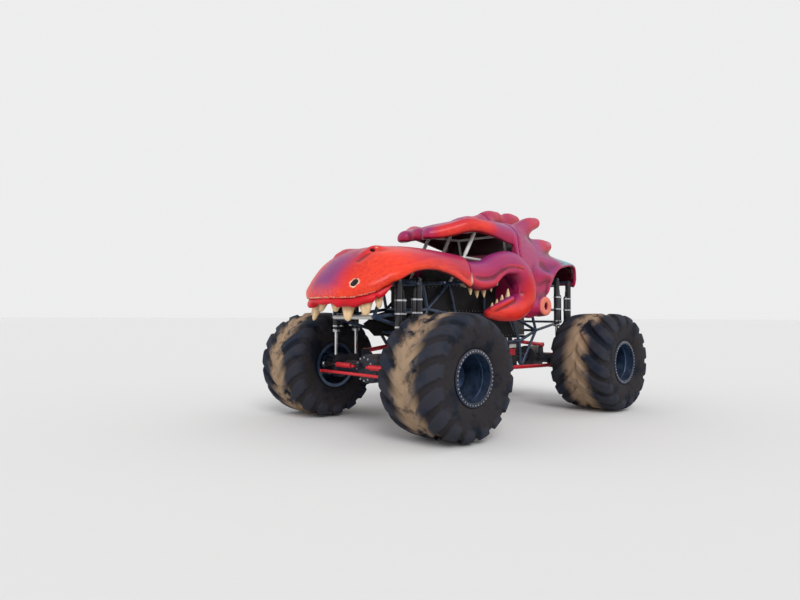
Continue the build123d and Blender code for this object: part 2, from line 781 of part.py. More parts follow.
# Cab
floor_z = mid_z + cross_radius
length, width = floor_size
floor_top = floor_z + panel_thickness
save("cab_floor", block((-length / 2, -width / 2, floor_z), (length / 2, width / 2, floor_top)))
seat_base = block((-520, -seat_width / 2, floor_top), (-520 + seat_depth, seat_width / 2, floor_top + 260))
seat_back = Pos(-500, 0, floor_top + 200) * Rot(0, -12, 0) * block((-110, -seat_width / 2, 0), (0, seat_width / 2, 820))
save("seat", joined([seat_base, seat_back]))
column_foot = (CAGE_FRONT[0], 0, 2320)
column_top = (CAGE_FRONT[0] - column_reach, 0, 2400)
column = rod(column_foot, column_top, 22)
dash = block((CAGE_FRONT[0] - dash_thickness / 2, -frame_y + 60, 2200),
             (CAGE_FRONT[0] + dash_thickness / 2, frame_y - 60, CAGE_FRONT[1] - cage_radius))
rim_plane = Plane(origin=column_top, z_dir=Vector(*column_top) - Vector(*column_foot))
hoop = rim_plane * Torus(150, 14)
spoke = rim_plane * Box(24, 290, 10)
save("steering_wheel", joined([column, hoop, spoke]))
save("dash_panel", less(joined([dash]), joined([column, hoop, spoke])))

# Body shells
snout_full = hull(body_section, SNOUT)
snout_cavity = hull(body_section, SNOUT, inset=skin, drop=200, grow=(-20, -skin))
snout_lining = hull(body_section, SNOUT, inset=skin + fit, drop=200, grow=(-20, -skin - fit))
save("snout_shell", snout_full - snout_cavity)
muzzle = [row for row in SNOUT if row[0] >= gum_start_x]
plan = [(row[0], row[1]) for row in muzzle]
plan += [(x, -y) for x, y in reversed(plan)]
palate = offset(make_face(Polyline(*plan, close=True)), amount=-gum_thickness, kind=Kind.INTERSECTION)
opening = Pos(-gum_thickness, 0, 0) * extrude(palate, amount=cage_z) + extrude(palate, amount=cage_z)
lip_line = [(row[0], row[2] - gum_drop) for row in muzzle]
front_x = nose_x + 50
gum_window = lip_line + [(front_x, lip_line[-1][1]), (front_x, 1900), (gum_start_x, 2050)]
gum_prism = Pos(0, 1200, 0) * extrude(Plane.XZ * make_face(Polyline(*gum_window, close=True)), amount=2400)
gum = (snout_lining & gum_prism) - opening
fangs = []
for x, y, tip, radius in FANGS:
    for side in (1, -1):
        fangs.append(fang(x, side * y, tooth_root_z, tip, radius))
save("upper_gum", less(gum, *fangs))
save("upper_teeth", apart(fangs))

jaw_left, jaw_room = jaw(), jaw(grow=fit)
save("jaw_left", jaw_left)
save("jaw_right", mirrored(jaw_left))
teeth = [less(fang(x, jaw_y + 40, base, tip, radius), jaw_room) for x, base, tip, radius in JAW_TEETH]
save("jaw_teeth", apart(teeth + [mirrored(tooth) for tooth in teeth]))

roof_full = hull(roof_section, ROOF)
roof_cavity = hull(roof_section, ROOF, inset=skin, drop=200, grow=(-20, -skin))
rear_full = hull(body_section, REAR)
rear_cavity = hull(body_section, REAR, inset=skin, drop=200, grow=(skin, 20))
horns = [horn(rows) for rows in HUMPS] + [horn(rows) for rows in HORNS]
horns += [mirrored(piece) for piece in horns[len(HUMPS):]]
stump = joined([across(boss_x, boss_z, boss_radius, boss_root_y, boss_reach), horn(CHEEK)])
stump = less(stump, across(boss_x, boss_z, boss_hole_radius, boss_reach - boss_hole_depth, boss_reach + 1))
stumps = [stump, mirrored(stump)]
rear_outside = block((roof_joint_x - 3000, -1500, 1000), (roof_joint_x, 1500, 4000))
crest = joined(horns) & rear_outside
rear_shell = joined([rear_full - rear_cavity] + [less(crest, rear_cavity)] + stumps)
save("rear_shell", less(rear_shell, jaw_room, mirrored(jaw_room)))
save("roof_shell", roof_full - roof_cavity)

# Body mounts: stubs from the tubes out to the inner faces of the shells
rear_lining = hull(body_section, REAR, inset=skin + fit, drop=200, grow=(skin + fit, 20))
roof_lining = hull(roof_section, ROOF, inset=skin + fit, drop=200, grow=(-20, -skin - fit))
mounts = []
for side in (1, -1):
    jaw_side = jaw_room if side > 0 else mirrored(jaw_room)
    carriers = sides + [cage_solid]
    for x in [place * stretch for place in mount_front_at]:
        stub = across(x, rail_z(x), mount_radius, side * frame_y, side * (2 * frame_y + 200))
        mounts.append(less(joined([stub]) & joined([snout_lining]), *carriers))
    for x in [place * stretch for place in mount_rear_at]:
        stub = upright(x, side * frame_y, rail_z(x), cage_z, mount_radius)
        mounts.append(less(joined([stub]) & joined([rear_lining]), *carriers, *crossings))
    for x in (CAGE_TOP[0], CAGE_TOP[1] + 150):
        stub = upright(x, side * cage_y, cage_z, cage_z + 600, mount_radius)
        mounts.append(less(joined([stub]) & joined([roof_lining]), *carriers))
    belt_z = (CAGE_FRONT[1] + CAGE_BELT[1]) / 2
    stubs = [across(0, mid_z, mount_radius, side * frame_y, side * jaw_y),
             across(0, belt_z, mount_radius, side * (cage_y - 10), side * jaw_y)]
    mounts += [less(joined([stub]), jaw_side, *carriers) for stub in stubs]
save("body_mounts", apart(mounts))
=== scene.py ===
"""Looks of a monster truck with a horned beast body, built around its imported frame, in metres."""

import json
import math

import bmesh
import bpy
import numpy as np
import openvdb as vdb
from bpy.props import FloatProperty, FloatVectorProperty, IntProperty, PointerProperty
from mathutils import Matrix, Vector


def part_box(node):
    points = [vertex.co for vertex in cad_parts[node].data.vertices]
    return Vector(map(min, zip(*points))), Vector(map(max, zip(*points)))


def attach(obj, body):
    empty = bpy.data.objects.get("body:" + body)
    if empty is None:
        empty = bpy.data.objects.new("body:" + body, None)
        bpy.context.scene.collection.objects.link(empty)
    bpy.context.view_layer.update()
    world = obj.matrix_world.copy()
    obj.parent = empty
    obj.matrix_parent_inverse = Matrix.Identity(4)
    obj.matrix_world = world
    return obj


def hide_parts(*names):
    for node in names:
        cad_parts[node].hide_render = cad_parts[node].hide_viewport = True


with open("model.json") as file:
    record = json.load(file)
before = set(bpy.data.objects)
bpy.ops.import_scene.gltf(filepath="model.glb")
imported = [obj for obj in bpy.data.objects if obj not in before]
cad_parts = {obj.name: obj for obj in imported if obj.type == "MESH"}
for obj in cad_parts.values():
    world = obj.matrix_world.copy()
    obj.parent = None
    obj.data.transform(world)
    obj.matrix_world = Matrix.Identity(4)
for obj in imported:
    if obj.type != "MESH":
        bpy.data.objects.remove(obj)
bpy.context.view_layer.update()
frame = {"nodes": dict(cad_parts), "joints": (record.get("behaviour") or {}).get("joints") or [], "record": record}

bl_info = {
    "name": "Beast monster truck",
    "version": (1, 0, 0),
    "blender": (4, 5, 0),
    "location": "View3D > Sidebar > Truck",
    "description": "Builds the skins, wheels and finishes of a horned monster truck",
    "category": "Object",
}

# Places that the frame gives
JOINTS = {joint["name"]: joint for joint in frame["joints"]}
FRONT_WHEEL = Vector(JOINTS["wheel_front_left_spin"]["pos_m"])
REAR_WHEEL = Vector(JOINTS["wheel_rear_left_spin"]["pos_m"])
MIDDLE_X = (FRONT_WHEEL.x + REAR_WHEEL.x) / 2
CORNERS = [(end, side, f"{end_name}_{side_name}") for end, end_name in ((1, "front"), (-1, "rear"))
           for side, side_name in ((1, "left"), (-1, "right"))]

# Body sections as in the frame, x counted from between the axles:
# x, lip y, lip z, cheek y, cheek z, ridge y, ridge z, crown z
SNOUT = [
    (0.88, 0.88, 1.985, 0.93, 2.19, 0.80, 2.44, 2.55),
    (1.25, 0.88, 2.135, 0.93, 2.30, 0.80, 2.46, 2.60),
    (1.65, 0.89, 2.205, 0.93, 2.34, 0.78, 2.465, 2.61),
    (2.00, 0.88, 2.165, 0.91, 2.28, 0.70, 2.44, 2.58),
    (2.30, 0.83, 2.02, 0.86, 2.16, 0.61, 2.38, 2.51),
    (2.55, 0.73, 1.882, 0.74, 2.03, 0.50, 2.26, 2.38),
    (2.75, 0.55, 1.812, 0.56, 1.95, 0.35, 2.12, 2.20),
    (2.86, 0.37, 1.802, 0.36, 1.90, 0.22, 2.01, 2.06),
    (2.905, 0.23, 1.806, 0.22, 1.87, 0.13, 1.93, 1.955),
    (2.921, 0.09, 1.808, 0.08, 1.83, 0.05, 1.86, 1.87),
]
REAR = [
    (-2.18, 0.80, 2.08, 0.82, 2.30, 0.60, 2.50, 2.60),
    (-2.05, 0.84, 2.44, 0.86, 2.50, 0.60, 2.60, 2.71),
    (-1.70, 0.87, 2.44, 0.90, 2.51, 0.58, 2.67, 2.82),
    (-1.40, 0.87, 2.31, 0.90, 2.42, 0.62, 2.70, 2.89),
    (-1.10, 0.86, 1.86, 0.89, 2.25, 0.69, 2.75, 3.00),
    (-0.80, 0.84, 1.56, 0.89, 2.15, 0.72, 2.84, 3.14),
    (-0.45, 0.82, 1.60, 0.89, 2.20, 0.75, 2.90, 3.21),
]
# Roof sections: x, half width, brow bottom z, brow top z, crown z
ROOF = [
    (-0.45, 0.76, 2.72, 2.92, 3.21),
    (-0.20, 0.76, 2.76, 2.98, 3.20),
    (0.15, 0.73, 2.83, 3.02, 3.17),
    (0.52, 0.66, 2.87, 3.01, 3.09),
    (0.80, 0.45, 2.80, 2.94, 3.01),
    (1.00, 0.32, 2.755, 2.885, 2.94),
    (1.10, 0.27, 2.745, 2.865, 2.91),
]
# On the left of the snout, as chains of ovals: the bump above the nostril, the dip beside it and the nostril
NOSE_BUMP = [(1.98, 0.27, 2.40, 0.13, 0.11), (2.20, 0.31, 2.450, 0.115, 0.10), (2.34, 0.33, 2.40, 0.09, 0.08)]
NOSE_DIP = [(2.20, 0.50, 2.57, 0.05, 0.06), (2.40, 0.42, 2.47, 0.045, 0.045), (2.56, 0.38, 2.33, 0.03, 0.02)]
NOSTRIL = [(2.34, 0.41, 2.62, 0.036, 0.034), (2.29, 0.35, 2.40, 0.034, 0.030)]
# The round rim of the arch, as places
NOSE_RIM = [(0.86, 0.87, 2.025), (1.05, 0.87, 2.085), (1.25, 0.87, 2.18), (1.65, 0.88, 2.245),
            (2.0, 0.86, 2.205), (2.25, 0.825, 2.07)]
# Chains of ovals: x, y, z, half width, half height
JAW = [
    (0.96, 0.78, 2.185, 0.150, 0.195),
    (0.50, 0.78, 2.235, 0.165, 0.185),
    (0.15, 0.78, 2.380, 0.180, 0.185),
    (-0.21, 0.78, 2.405, 0.190, 0.215),
    (-0.51, 0.78, 2.23, 0.200, 0.232),
    (-0.60, 0.78, 1.93, 0.198, 0.240),
    (-0.40, 0.78, 1.715, 0.185, 0.200),
    (-0.06, 0.78, 1.655, 0.165, 0.155),
    (0.15, 0.79, 1.640, 0.138, 0.120),
    (0.325, 0.80, 1.625, 0.085, 0.070),
]
# The row of the smoothed jaw from which its outer bend, airbrushed orange with a painted highlight, runs
JAW_BEND_ROW = 18
# On the left jaw: both lips, and the groove above the upper one as places
UPPER_LIP = [(1.00, 0.84, 2.105, 0.095, 0.090), (0.84, 0.85, 2.090, 0.100, 0.088),
             (0.70, 0.86, 2.050, 0.105, 0.092), (0.52, 0.865, 2.055, 0.105, 0.088),
             (0.36, 0.87, 2.090, 0.100, 0.080), (0.22, 0.87, 2.190, 0.090, 0.070),
             (0.05, 0.87, 2.275, 0.085, 0.062), (-0.15, 0.87, 2.290, 0.080, 0.058),
             (-0.34, 0.86, 2.285, 0.070, 0.045)]
LOWER_LIP = [(-0.16, 0.86, 1.86, 0.06, 0.05), (0.02, 0.87, 1.80, 0.07, 0.05),
             (0.18, 0.87, 1.745, 0.062, 0.043), (0.33, 0.86, 1.69, 0.045, 0.034)]
LIP_GROOVE = [(1.00, 0.97, 2.175), (0.82, 0.97, 2.180), (0.62, 0.975, 2.168), (0.41, 0.98, 2.162),
              (0.30, 0.98, 2.195), (0.16, 0.985, 2.297), (0.05, 0.985, 2.350), (-0.15, 0.98, 2.357),
              (-0.34, 0.97, 2.330)]
# Small dents in it: x, z, half width
JAW_DENTS = [(0.62, 2.165, 0.035), (-0.36, 1.95, 0.040), (-0.30, 2.10, 0.030), (0.30, 2.30, 0.025)]
HUMPS = [
    [(0.04, 0.0, 3.10, 0.16, 0.12), (-0.12, 0.0, 3.155, 0.14, 0.115), (-0.25, 0.0, 3.13, 0.12, 0.10)],
    [(-0.42, 0.0, 3.10, 0.17, 0.22), (-0.64, 0.0, 3.265, 0.15, 0.165), (-0.85, 0.0, 3.325, 0.115, 0.115)],
    [(-0.96, 0.0, 3.08, 0.16, 0.22), (-1.18, 0.0, 3.285, 0.14, 0.165), (-1.40, 0.0, 3.315, 0.12, 0.125)],
]
HORNS = [
    [(-0.50, 0.50, 2.93, 0.13, 0.13), (-0.90, 0.46, 3.03, 0.14, 0.17), (-1.20, 0.45, 3.18, 0.125, 0.135),
     (-1.41, 0.45, 3.24, 0.10, 0.10)],
    [(-1.20, 0.47, 2.74, 0.17, 0.19), (-1.48, 0.49, 2.81, 0.14, 0.15), (-1.70, 0.50, 2.845, 0.105, 0.10)],
]
# On the left: brow, fin behind the cheek, rim of the rear arch, neck above the stump, hollow above the arch,
# stump. In the middle: beak
BROW = [(1.08, 0.27, 2.805, 0.130, 0.128), (0.95, 0.35, 2.835, 0.135, 0.128),
        (0.78, 0.46, 2.890, 0.130, 0.125), (0.56, 0.59, 2.965, 0.130, 0.130),
        (0.30, 0.665, 2.955, 0.115, 0.125), (0.0, 0.68, 2.92, 0.105, 0.130),
        (-0.30, 0.68, 2.90, 0.100, 0.140)]
FIN = [(-0.90, 0.81, 2.27, 0.10, 0.11), (-1.05, 0.865, 2.275, 0.075, 0.062),
       (-1.19, 0.895, 2.262, 0.032, 0.030)]
FLARE = [(-1.19, 0.86, 1.95, 0.05, 0.05), (-1.22, 0.86, 2.12, 0.05, 0.05), (-1.42, 0.86, 2.33, 0.05, 0.05),
         (-1.70, 0.86, 2.43, 0.05, 0.045), (-1.9, 0.85, 2.46, 0.05, 0.04), (-2.10, 0.80, 2.42, 0.05, 0.05),
         (-2.20, 0.76, 2.20, 0.04, 0.05)]
NECK = [(-0.95, 0.80, 2.00, 0.07, 0.12), (-0.92, 0.80, 1.84, 0.10, 0.14)]
DISH = [(-1.14, 0.945, 2.475, 0.150, 0.160), (-1.34, 0.965, 2.52, 0.130, 0.140),
        (-1.56, 0.99, 2.55, 0.09, 0.10)]
BEAK = [(1.04, 0.0, 2.840, 0.135, 0.110), (0.90, 0.0, 2.88, 0.14, 0.10), (0.70, 0.0, 2.93, 0.14, 0.10)]
CHEEK = [(-0.56, 0.76, 1.76, 0.15, 0.19), (-0.80, 0.77, 1.75, 0.155, 0.175),
         (-1.04, 0.79, 1.74, 0.155, 0.158)]
# Snout fangs: x, y, tip z, base radius, how far the root stands in
FANGS = [(2.785, 0.155, 1.632, 0.096, 0.038), (2.745, 0.370, 1.508, 0.110, 0.072),
         (2.615, 0.585, 1.580, 0.116, 0.072), (2.465, 0.690, 1.680, 0.076, 0.072)]
FANG_SINK, FANG_CENTRE_X, FANG_BLUNT, FANG_DEPTH = 0.045, 2.0, 0.34, 0.62
# Jaw teeth, upper and then lower: x, root z, tip z, root radius
JAW_TEETH = [(0.79, 2.00, 1.890, 0.044), (0.64, 1.985, 1.85, 0.048), (0.48, 2.00, 1.86, 0.050),
             (0.31, 2.10, 1.95, 0.046), (0.15, 2.20, 2.05, 0.050), (0.28, 1.68, 1.79, 0.042),
             (0.16, 1.71, 1.85, 0.048), (0.03, 1.75, 1.92, 0.054), (-0.12, 1.80, 2.02, 0.060)]
JAW_TEETH_Y, JAW_TOOTH_SINK, JAW_TOOTH_BLUNT, JAW_SEED = 0.82, 0.02, 0.18, 20
# The gum: where it starts, its number of sections, and a section's rows of inset, rise and share of the hang
GUM_START_X, GUM_SECTIONS = 2.33, 220
GUM_SECTION = [(0.034, 0.04, 0.0), (0.030, -0.012, 0.1), (0.010, -0.035, 0.3), (0.006, -0.080, 0.8),
               (0.040, -0.110, 1.0), (0.12, -0.100, 0.7), (0.175, -0.01, 0.2), (0.18, 0.04, 0.0)]
# Shocks, as the frame has them: top z by axle and by which of the two is ahead
SHOCK_OFFSET, SHOCK_Y, SHOCK_LOW, SHOCK_SHARE = 0.19, 0.695, 0.965, 0.36
SHOCK_TOPS = {(1, True): 2.052, (1, False): 2.078, (-1, True): 2.232, (-1, False): 2.202}
# A shock's clamps: how far up the body they sit, half their height, and inner radius, outer radius and sides,
# on the body and on the gas can. The cap's rows are place along the axis and radius
CLAMP_SHARES, CLAMP_HALF = (0.10, 0.36, 0.62), 0.011
BODY_CLAMP, CAN_CLAMP = (0.0502, 0.0575, 28), (0.0325, 0.0395, 24)
SHOCK_CAP = [(-0.02, 0.027), (-0.02, 0.056), (0.012, 0.058), (0.02, 0.052), (0.02, 0.027), (-0.02, 0.027)]
CAN_OFFSET, CAN_RADIUS, HOSE_RADIUS = 0.094, 0.0325, 0.009
# Black sheets round the driver: how far out, how thick, and outlines in x and z
TUB_Y, SHEET_THICKNESS = 0.392, 0.006
TUB_SIDE = [(-0.66, 1.63), (-0.60, 2.09), (0.40, 2.17), (0.95, 2.18), (1.30, 2.14), (1.22, 1.70),
            (0.93, 1.22), (-0.92, 1.22)]
TUB_NOSE = [(0.97, 1.27), (1.62, 1.27), (1.84, 1.46), (1.60, 1.60), (1.225, 1.69)]
# Sheets across it, black, which also stand in for the shade deep in the body: name, x, low z, high z
TUB_WALLS = [("bulkhead", 1.27, 1.70, 2.13), ("wall", 0.90, 1.22, 1.60)]
# Rows of rivets: x and z of both ends
TUB_RIVETS = [((-0.58, 2.06), (0.84, 2.04)), ((-0.64, 1.66), (0.78, 1.66)), ((-0.88, 1.26), (0.90, 1.26)),
              ((0.90, 2.04), (1.24, 2.01))]
RIVET_SPACING, RIVET_RADIUS, RIVET_OUT = 0.075, 0.006, 0.005
# Blank placards: x, z, width, height, tone
PLACARDS = [(-0.80, 1.075, 0.19, 0.065, "white"), (-0.79, 0.97, 0.16, 0.11, "red"),
            (-0.60, 1.05, 0.10, 0.09, "white"), (-0.42, 1.04, 0.15, 0.12, "red"),
            (0.10, 1.08, 0.22, 0.08, "white"), (0.42, 1.05, 0.20, 0.12, "red")]
# The harness, in the backrest's frame: each strap's route on the left, and which way it lies flat
HARNESS = [([(-0.060, 0.085, 0.60), (0.004, 0.085, 0.50), (0.012, 0.075, 0.30), (0.016, 0.050, 0.12)],
            (0, 1, 0)),
           ([(-0.02, 0.200, 0.02), (0.05, 0.140, 0.055), (0.09, 0.050, 0.075)], (0.3, 0, 1))]
STRAP_HALF, STRAP_THICKNESS = 0.0245, 0.003
# Turns a pad from lying flat to standing against the backrest
PAD_UPRIGHT = Matrix(((0, 0, 1, 0), (1, 0, 0, 0), (0, 1, 0, 0), (0, 0, 0, 1)))
# Half section of a tyre: across, radius, share of the lugs' height
CARCASS = [(0.0, 0.776, 1.0), (0.20, 0.773, 1.0), (0.34, 0.765, 1.0), (0.43, 0.742, 1.0), (0.485, 0.690, 0.8),
           (0.508, 0.620, 0.25), (0.512, 0.540, 0.0), (0.500, 0.460, 0.0), (0.478, 0.400, 0.0),
           (0.452, 0.368, 0.0), (0.440, 0.353, 0.0)]
# Depths at which a skin's inner side starts and is full, as shares of its wall
INNER_SKIN = (0.45, 0.75)
# How far round a lug sweeps, from the middle to its end, and how far out from the middle it ends
LUG_SWEEP, LUG_REACH = math.radians(33), 0.50
# The most that a tyre may stand out, across and in radius, to stay inside the solid one
TYRE_HALF, TYRE_RADIUS = 0.519, 0.8195
# Turned pieces of a wheel, as rows of place along its axle and radius, the ring's from the rim's edge
RIM_HALF = 0.457
BEAD_RING = [(-0.004, 0.302), (0.006, 0.302), (0.012, 0.308), (0.012, 0.350), (0.006, 0.358), (-0.004, 0.358),
             (-0.004, 0.302)]
HUB_CAP = [(0.095, 0.0), (0.095, 0.060), (0.085, 0.085), (0.05, 0.100), (0.0, 0.112), (-0.05, 0.115),
           (-0.05, 0.0)]
BARREL_BEAD = [(0.30, 0.3025), (0.31, 0.296), (0.33, 0.296), (0.34, 0.3025), (0.30, 0.3025)]
# Windscreen bars as in the frame: foot and head x and z, and how far out they stand
CAGE_FOOT, CAGE_HEAD, CAGE_BARS_Y = (0.56, 2.49), (0.29, 2.93), 0.5
NOSE_BAR = (2.35, 1.56)
# Two holes that meet, on the side of the muzzle: x, z
EYELET_HOLES = ((2.716, 2.026), (2.758, 1.992))
EYELET_RADIUS = 0.032
# Where the snout ends behind and the roof starts, and how wide the seams there are
SEAM_X = 0.88
SEAM_GAP = 0.006
ROOF_JOINT_X = -0.45
# The stump on each cheek: x, z and how far out its cut face stands
STUMP_X, STUMP_Z, STUMP_Y = -1.04, 1.75, 0.945
# A distance beyond every form, straight up, and the reach within which points are merged
FAR = 1.0
UP = (0, 0, 1)
DOUBLES = 1e-5


# Tables and curves

def smoothed(rows, steps=6):
    """Catmull-Rom rows between the rows of a table."""
    rows = np.array(rows, float)
    ends = np.vstack([2 * rows[0] - rows[1], rows, 2 * rows[-1] - rows[-2]])
    out = []
    for a, b, c, d in zip(ends, ends[1:], ends[2:], ends[3:]):
        for t in np.arange(steps) / steps:
            out.append(0.5 * (2 * b + (c - a) * t + (2 * a - 5 * b + 4 * c - d) * t * t
                              + (3 * b - a - 3 * c + d) * t**3))
    out.append(rows[-1])
    return np.array(out)


def placed(rows, side=1):
    """A table's rows in the truck's frame, mirrored for the right side."""
    out = np.array(rows, float)
    out[:, 0] += MIDDLE_X
    out[:, 1] *= side
    return out


def ramp(values, low, high):
    """0 at low and 1 at high, with soft ends."""
    t = np.clip((values - low) / (high - low), 0, 1)
    return t * t * (3 - 2 * t)


def fade(values, low, high):
    """1 at low and 0 at high, with soft ends."""
    return 1 - ramp(values, low, high)


def arch_ring(row, drop):
    """One body section as a closed ring of points: up the left side, over the crown and down the right."""
    x, lip_y, lip_z, cheek_y, cheek_z, ridge_y, ridge_z, crown_z = row
    shoulder_z = crown_z - 0.3 * (crown_z - ridge_z)
    left = [(lip_y, lip_z - drop), (lip_y, lip_z), (cheek_y, cheek_z), (ridge_y, ridge_z),
            (0.55 * ridge_y, shoulder_z)]
    both = left + [(0, crown_z)] + [(-y, z) for y, z in reversed(left)]
    return [(x + MIDDLE_X, y, z) for y, z in smoothed(both, 5)]


def roof_ring(row, drop):
    """One roof section as a closed ring of points."""
    x, half, low, high, crown = row
    left = [(half * 0.96, low - drop), (half, low), (half, high), (half * 0.62, high + 0.72 * (crown - high))]
    both = left + [(0, crown)] + [(-y, z) for y, z in reversed(left)]
    return [(x + MIDDLE_X, y, z) for y, z in smoothed(both, 5)]


class Clay:
    """A box of sampled space in which closed forms are melted together, cut and given a skin."""

    def __init__(self, low, high, voxel):
        self.low, self.voxel = np.array(low, float), voxel
        self.shape = tuple(np.ceil((np.array(high) - self.low) / voxel).astype(int) + 1)
        axes = [self.low[i] + voxel * np.arange(self.shape[i]) for i in range(3)]
        self.x, self.y, self.z = np.meshgrid(*axes, indexing="ij", sparse=True)

    def loft(self, rings):
        """Distance to the closed hull through rings of points."""
        rings = np.array(rings, float)
        count, size = rings.shape[:2]
        points = np.vstack([rings.reshape(-1, 3), rings[0].mean(0), rings[-1].mean(0)])
        turn = (np.arange(size) + 1) % size
        quads = [np.stack([i * size + np.arange(size), i * size + turn, (i + 1) * size + turn,
                           (i + 1) * size + np.arange(size)], 1) for i in range(count - 1)]
        last, centre = (count - 1) * size, count * size
        fans = [np.stack([turn, np.arange(size), np.full(size, centre)], 1),
                np.stack([last + np.arange(size), last + turn, np.full(size, centre + 1)], 1)]
        band = 14
        grid = vdb.FloatGrid.createLevelSetFromPolygons(
            ((points - self.low) / self.voxel).astype(np.float32),
            triangles=np.vstack(fans).astype(np.uint32),
            quads=np.vstack(quads).astype(np.uint32), halfWidth=band)
        out = np.full(self.shape, band, np.float32)
        grid.copyToArray(out)
        return out * self.voxel

    def chain(self, rows, steps=4, margin=0.3):
        """Distance to a bent bar of ovals: x, y, z, half width across, half height."""
        rows = smoothed(rows, steps)
        out = np.full(self.shape, FAR, np.float32)
        for a, b in zip(rows, rows[1:]):
            start, end = Vector(a[:3]), Vector(b[:3])
            length = (end - start).length
            axis = (end - start) / length
            sideways = Vector((0, 1, 0)) if abs(axis.y) < 0.95 else Vector((1, 0, 0))
            across = (sideways - axis * axis.dot(sideways)).normalized()
            up = axis.cross(across)
            reach = max(a[3], a[4], b[3], b[4]) + margin
            low = np.maximum(((np.minimum(a[:3], b[:3]) - reach - self.low) / self.voxel).astype(int), 0)
            high = ((np.maximum(a[:3], b[:3]) + reach - self.low) / self.voxel).astype(int) + 1
            high = np.minimum(np.maximum(high, 0), self.shape)
            if (high <= low).any():
                continue
            box = tuple(slice(i, j) for i, j in zip(low, high))
            x, y, z = self.x[box[0]] - a[0], self.y[:, box[1]] - a[1], self.z[:, :, box[2]] - a[2]
            along = x * axis.x + y * axis.y + z * axis.z
            share = np.clip(along / length, 0, 1)
            wide, tall = a[3] + share * (b[3] - a[3]), a[4] + share * (b[4] - a[4])
            beyond = along - share * length
            side = (x * across.x + y * across.y + z * across.z) / wide
            rise = (x * up.x + y * up.y + z * up.z) / tall
            mean = np.sqrt(wide * tall)
            near = (np.sqrt(side**2 + rise**2 + (beyond / mean) ** 2) - 1) * mean
            out[box] = np.minimum(out[box], near)
        return out

    def grow(self, form, rows, reach, side=1, **how):
        """The form with a bent bar melted onto one side of the truck."""
        return melt(form, self.chain(placed(rows, side), **how), reach)

    def carve(self, form, rows, reach, side=1, **how):
        """The form with a bent bar cut out of one side of the truck."""
        return cut(form, self.chain(placed(rows, side), **how), reach)

    def sample(self, field, points):
        """The field's value at each point, between its samples."""
        spots = (np.asarray(points) - self.low) / self.voxel
        base = np.clip(spots.astype(int), 0, np.array(self.shape) - 2)
        part = np.clip(spots - base, 0, 1)
        total = np.zeros(len(spots))
        for corner in np.ndindex(2, 2, 2):
            share = np.prod(np.where(corner, part, 1 - part), axis=1)
            i, j, k = (base + corner).T
            total += share * field[i, j, k]
        return total

    def skin(self, name, field, relax=3):
        """A mesh object on the field's zero surface, its faces pointing out."""
        grid = vdb.FloatGrid(FAR)
        grid.copyFromArray(np.ascontiguousarray(field, np.float32))
        points, quads = grid.convertToQuads(isovalue=0.0)[:2]
        points = np.asarray(points, float) * self.voxel + self.low
        return remade(solid(name, points, np.asarray(quads, int)), relax=relax)


def melt(a, b, reach):
    """Union of two fields with a fillet."""
    share = np.clip(0.5 + 0.5 * (b - a) / reach, 0, 1)
    return b + (a - b) * share - reach * share * (1 - share)


def cut(a, b, reach):
    """Field a without field b, with a rounded edge."""
    return -melt(-a, b, reach)


# Meshes

def linked(name, data):
    """An object in the scene for a mesh, a curve, a lamp or a camera."""
    made = bpy.data.objects.new(name, data)
    bpy.context.scene.collection.objects.link(made)
    return made


def evaluated(holder):
    """A plain mesh of an object, with its modifiers or its bevel worked out."""
    return bpy.data.meshes.new_from_object(holder.evaluated_get(bpy.context.evaluated_depsgraph_get()))


def solid(name, points, faces):
    """A mesh object from points and faces."""
    mesh = bpy.data.meshes.new(name)
    mesh.from_pydata([tuple(p) for p in points], [], [tuple(f) for f in faces])
    mesh.update()
    return linked(name, mesh)


def remade(piece, merge=False, relax=0):
    """Merges doubles and relaxes the points where asked, points the faces out and shades them smooth."""
    bm = bmesh.new()
    bm.from_mesh(piece.data)
    if merge:
        bmesh.ops.remove_doubles(bm, verts=bm.verts, dist=DOUBLES)
    for _ in range(relax):
        bmesh.ops.smooth_vert(bm, verts=bm.verts, factor=0.5, use_axis_x=True, use_axis_y=True,
                              use_axis_z=True)
    bmesh.ops.recalc_face_normals(bm, faces=bm.faces)
    bm.to_mesh(piece.data)
    bm.free()
    piece.data.polygons.foreach_set("use_smooth", [True] * len(piece.data.polygons))
    return piece


def per_point(piece, key):
    """Each point's place or normal, as rows of three numbers."""
    flat = np.empty(len(piece.data.vertices) * 3)
    piece.data.vertices.foreach_get(key, flat)
    return flat.reshape(-1, 3)


def coordinates(piece):
    return per_point(piece, "co")


def normals(piece):
    return per_point(piece, "normal")


def mark(piece, name, values):
    """Stores one number for each point of a piece, for its finish to read."""
    layer = piece.data.attributes.new(name, "FLOAT", "POINT")
    layer.data.foreach_set("value", np.asarray(values, np.float32))


def line_distance(points, line):
    """Distance from each point to a bent line."""
    line = np.asarray(line, float)[:, :3]
    best = np.full(len(points), FAR)
    for a, b in zip(line, line[1:]):
        span = b - a
        share = np.clip((points - a) @ span / (span @ span), 0, 1)
        best = np.minimum(best, np.linalg.norm(points - a - share[:, None] * span, axis=1))
    return best


def nearest(points, lines):
    """Distance from each point to the nearest of some bent lines."""
    return np.minimum.reduce([line_distance(points, line) for line in lines])


def spot_distance(points, spot):
    """Distance from each point to a place on the left or its mirror image, whichever is nearer."""
    return np.minimum.reduce([np.linalg.norm(points - placed([spot], side)[0], axis=1) for side in (1, -1)])


def flipped(piece, name):
    """A copy of a left piece for the right side."""
    mesh = piece.data.copy()
    mesh.transform(Matrix.Scale(-1, 4, (0, 1, 0)))
    mesh.flip_normals()
    mesh.name = name
    return linked(name, mesh)


def tidied(piece, angle=40):
    """Merges doubles, points faces out and marks edges that turn by more than an angle as sharp."""
    remade(piece, merge=True)
    piece.data.set_sharp_from_angle(angle=math.radians(angle))
    return piece


def rounded(piece):
    """Rounds a piece by one level of subdivision."""
    smooth = piece.modifiers.new("smooth", "SUBSURF")
    smooth.levels = smooth.render_levels = 1
    return piece


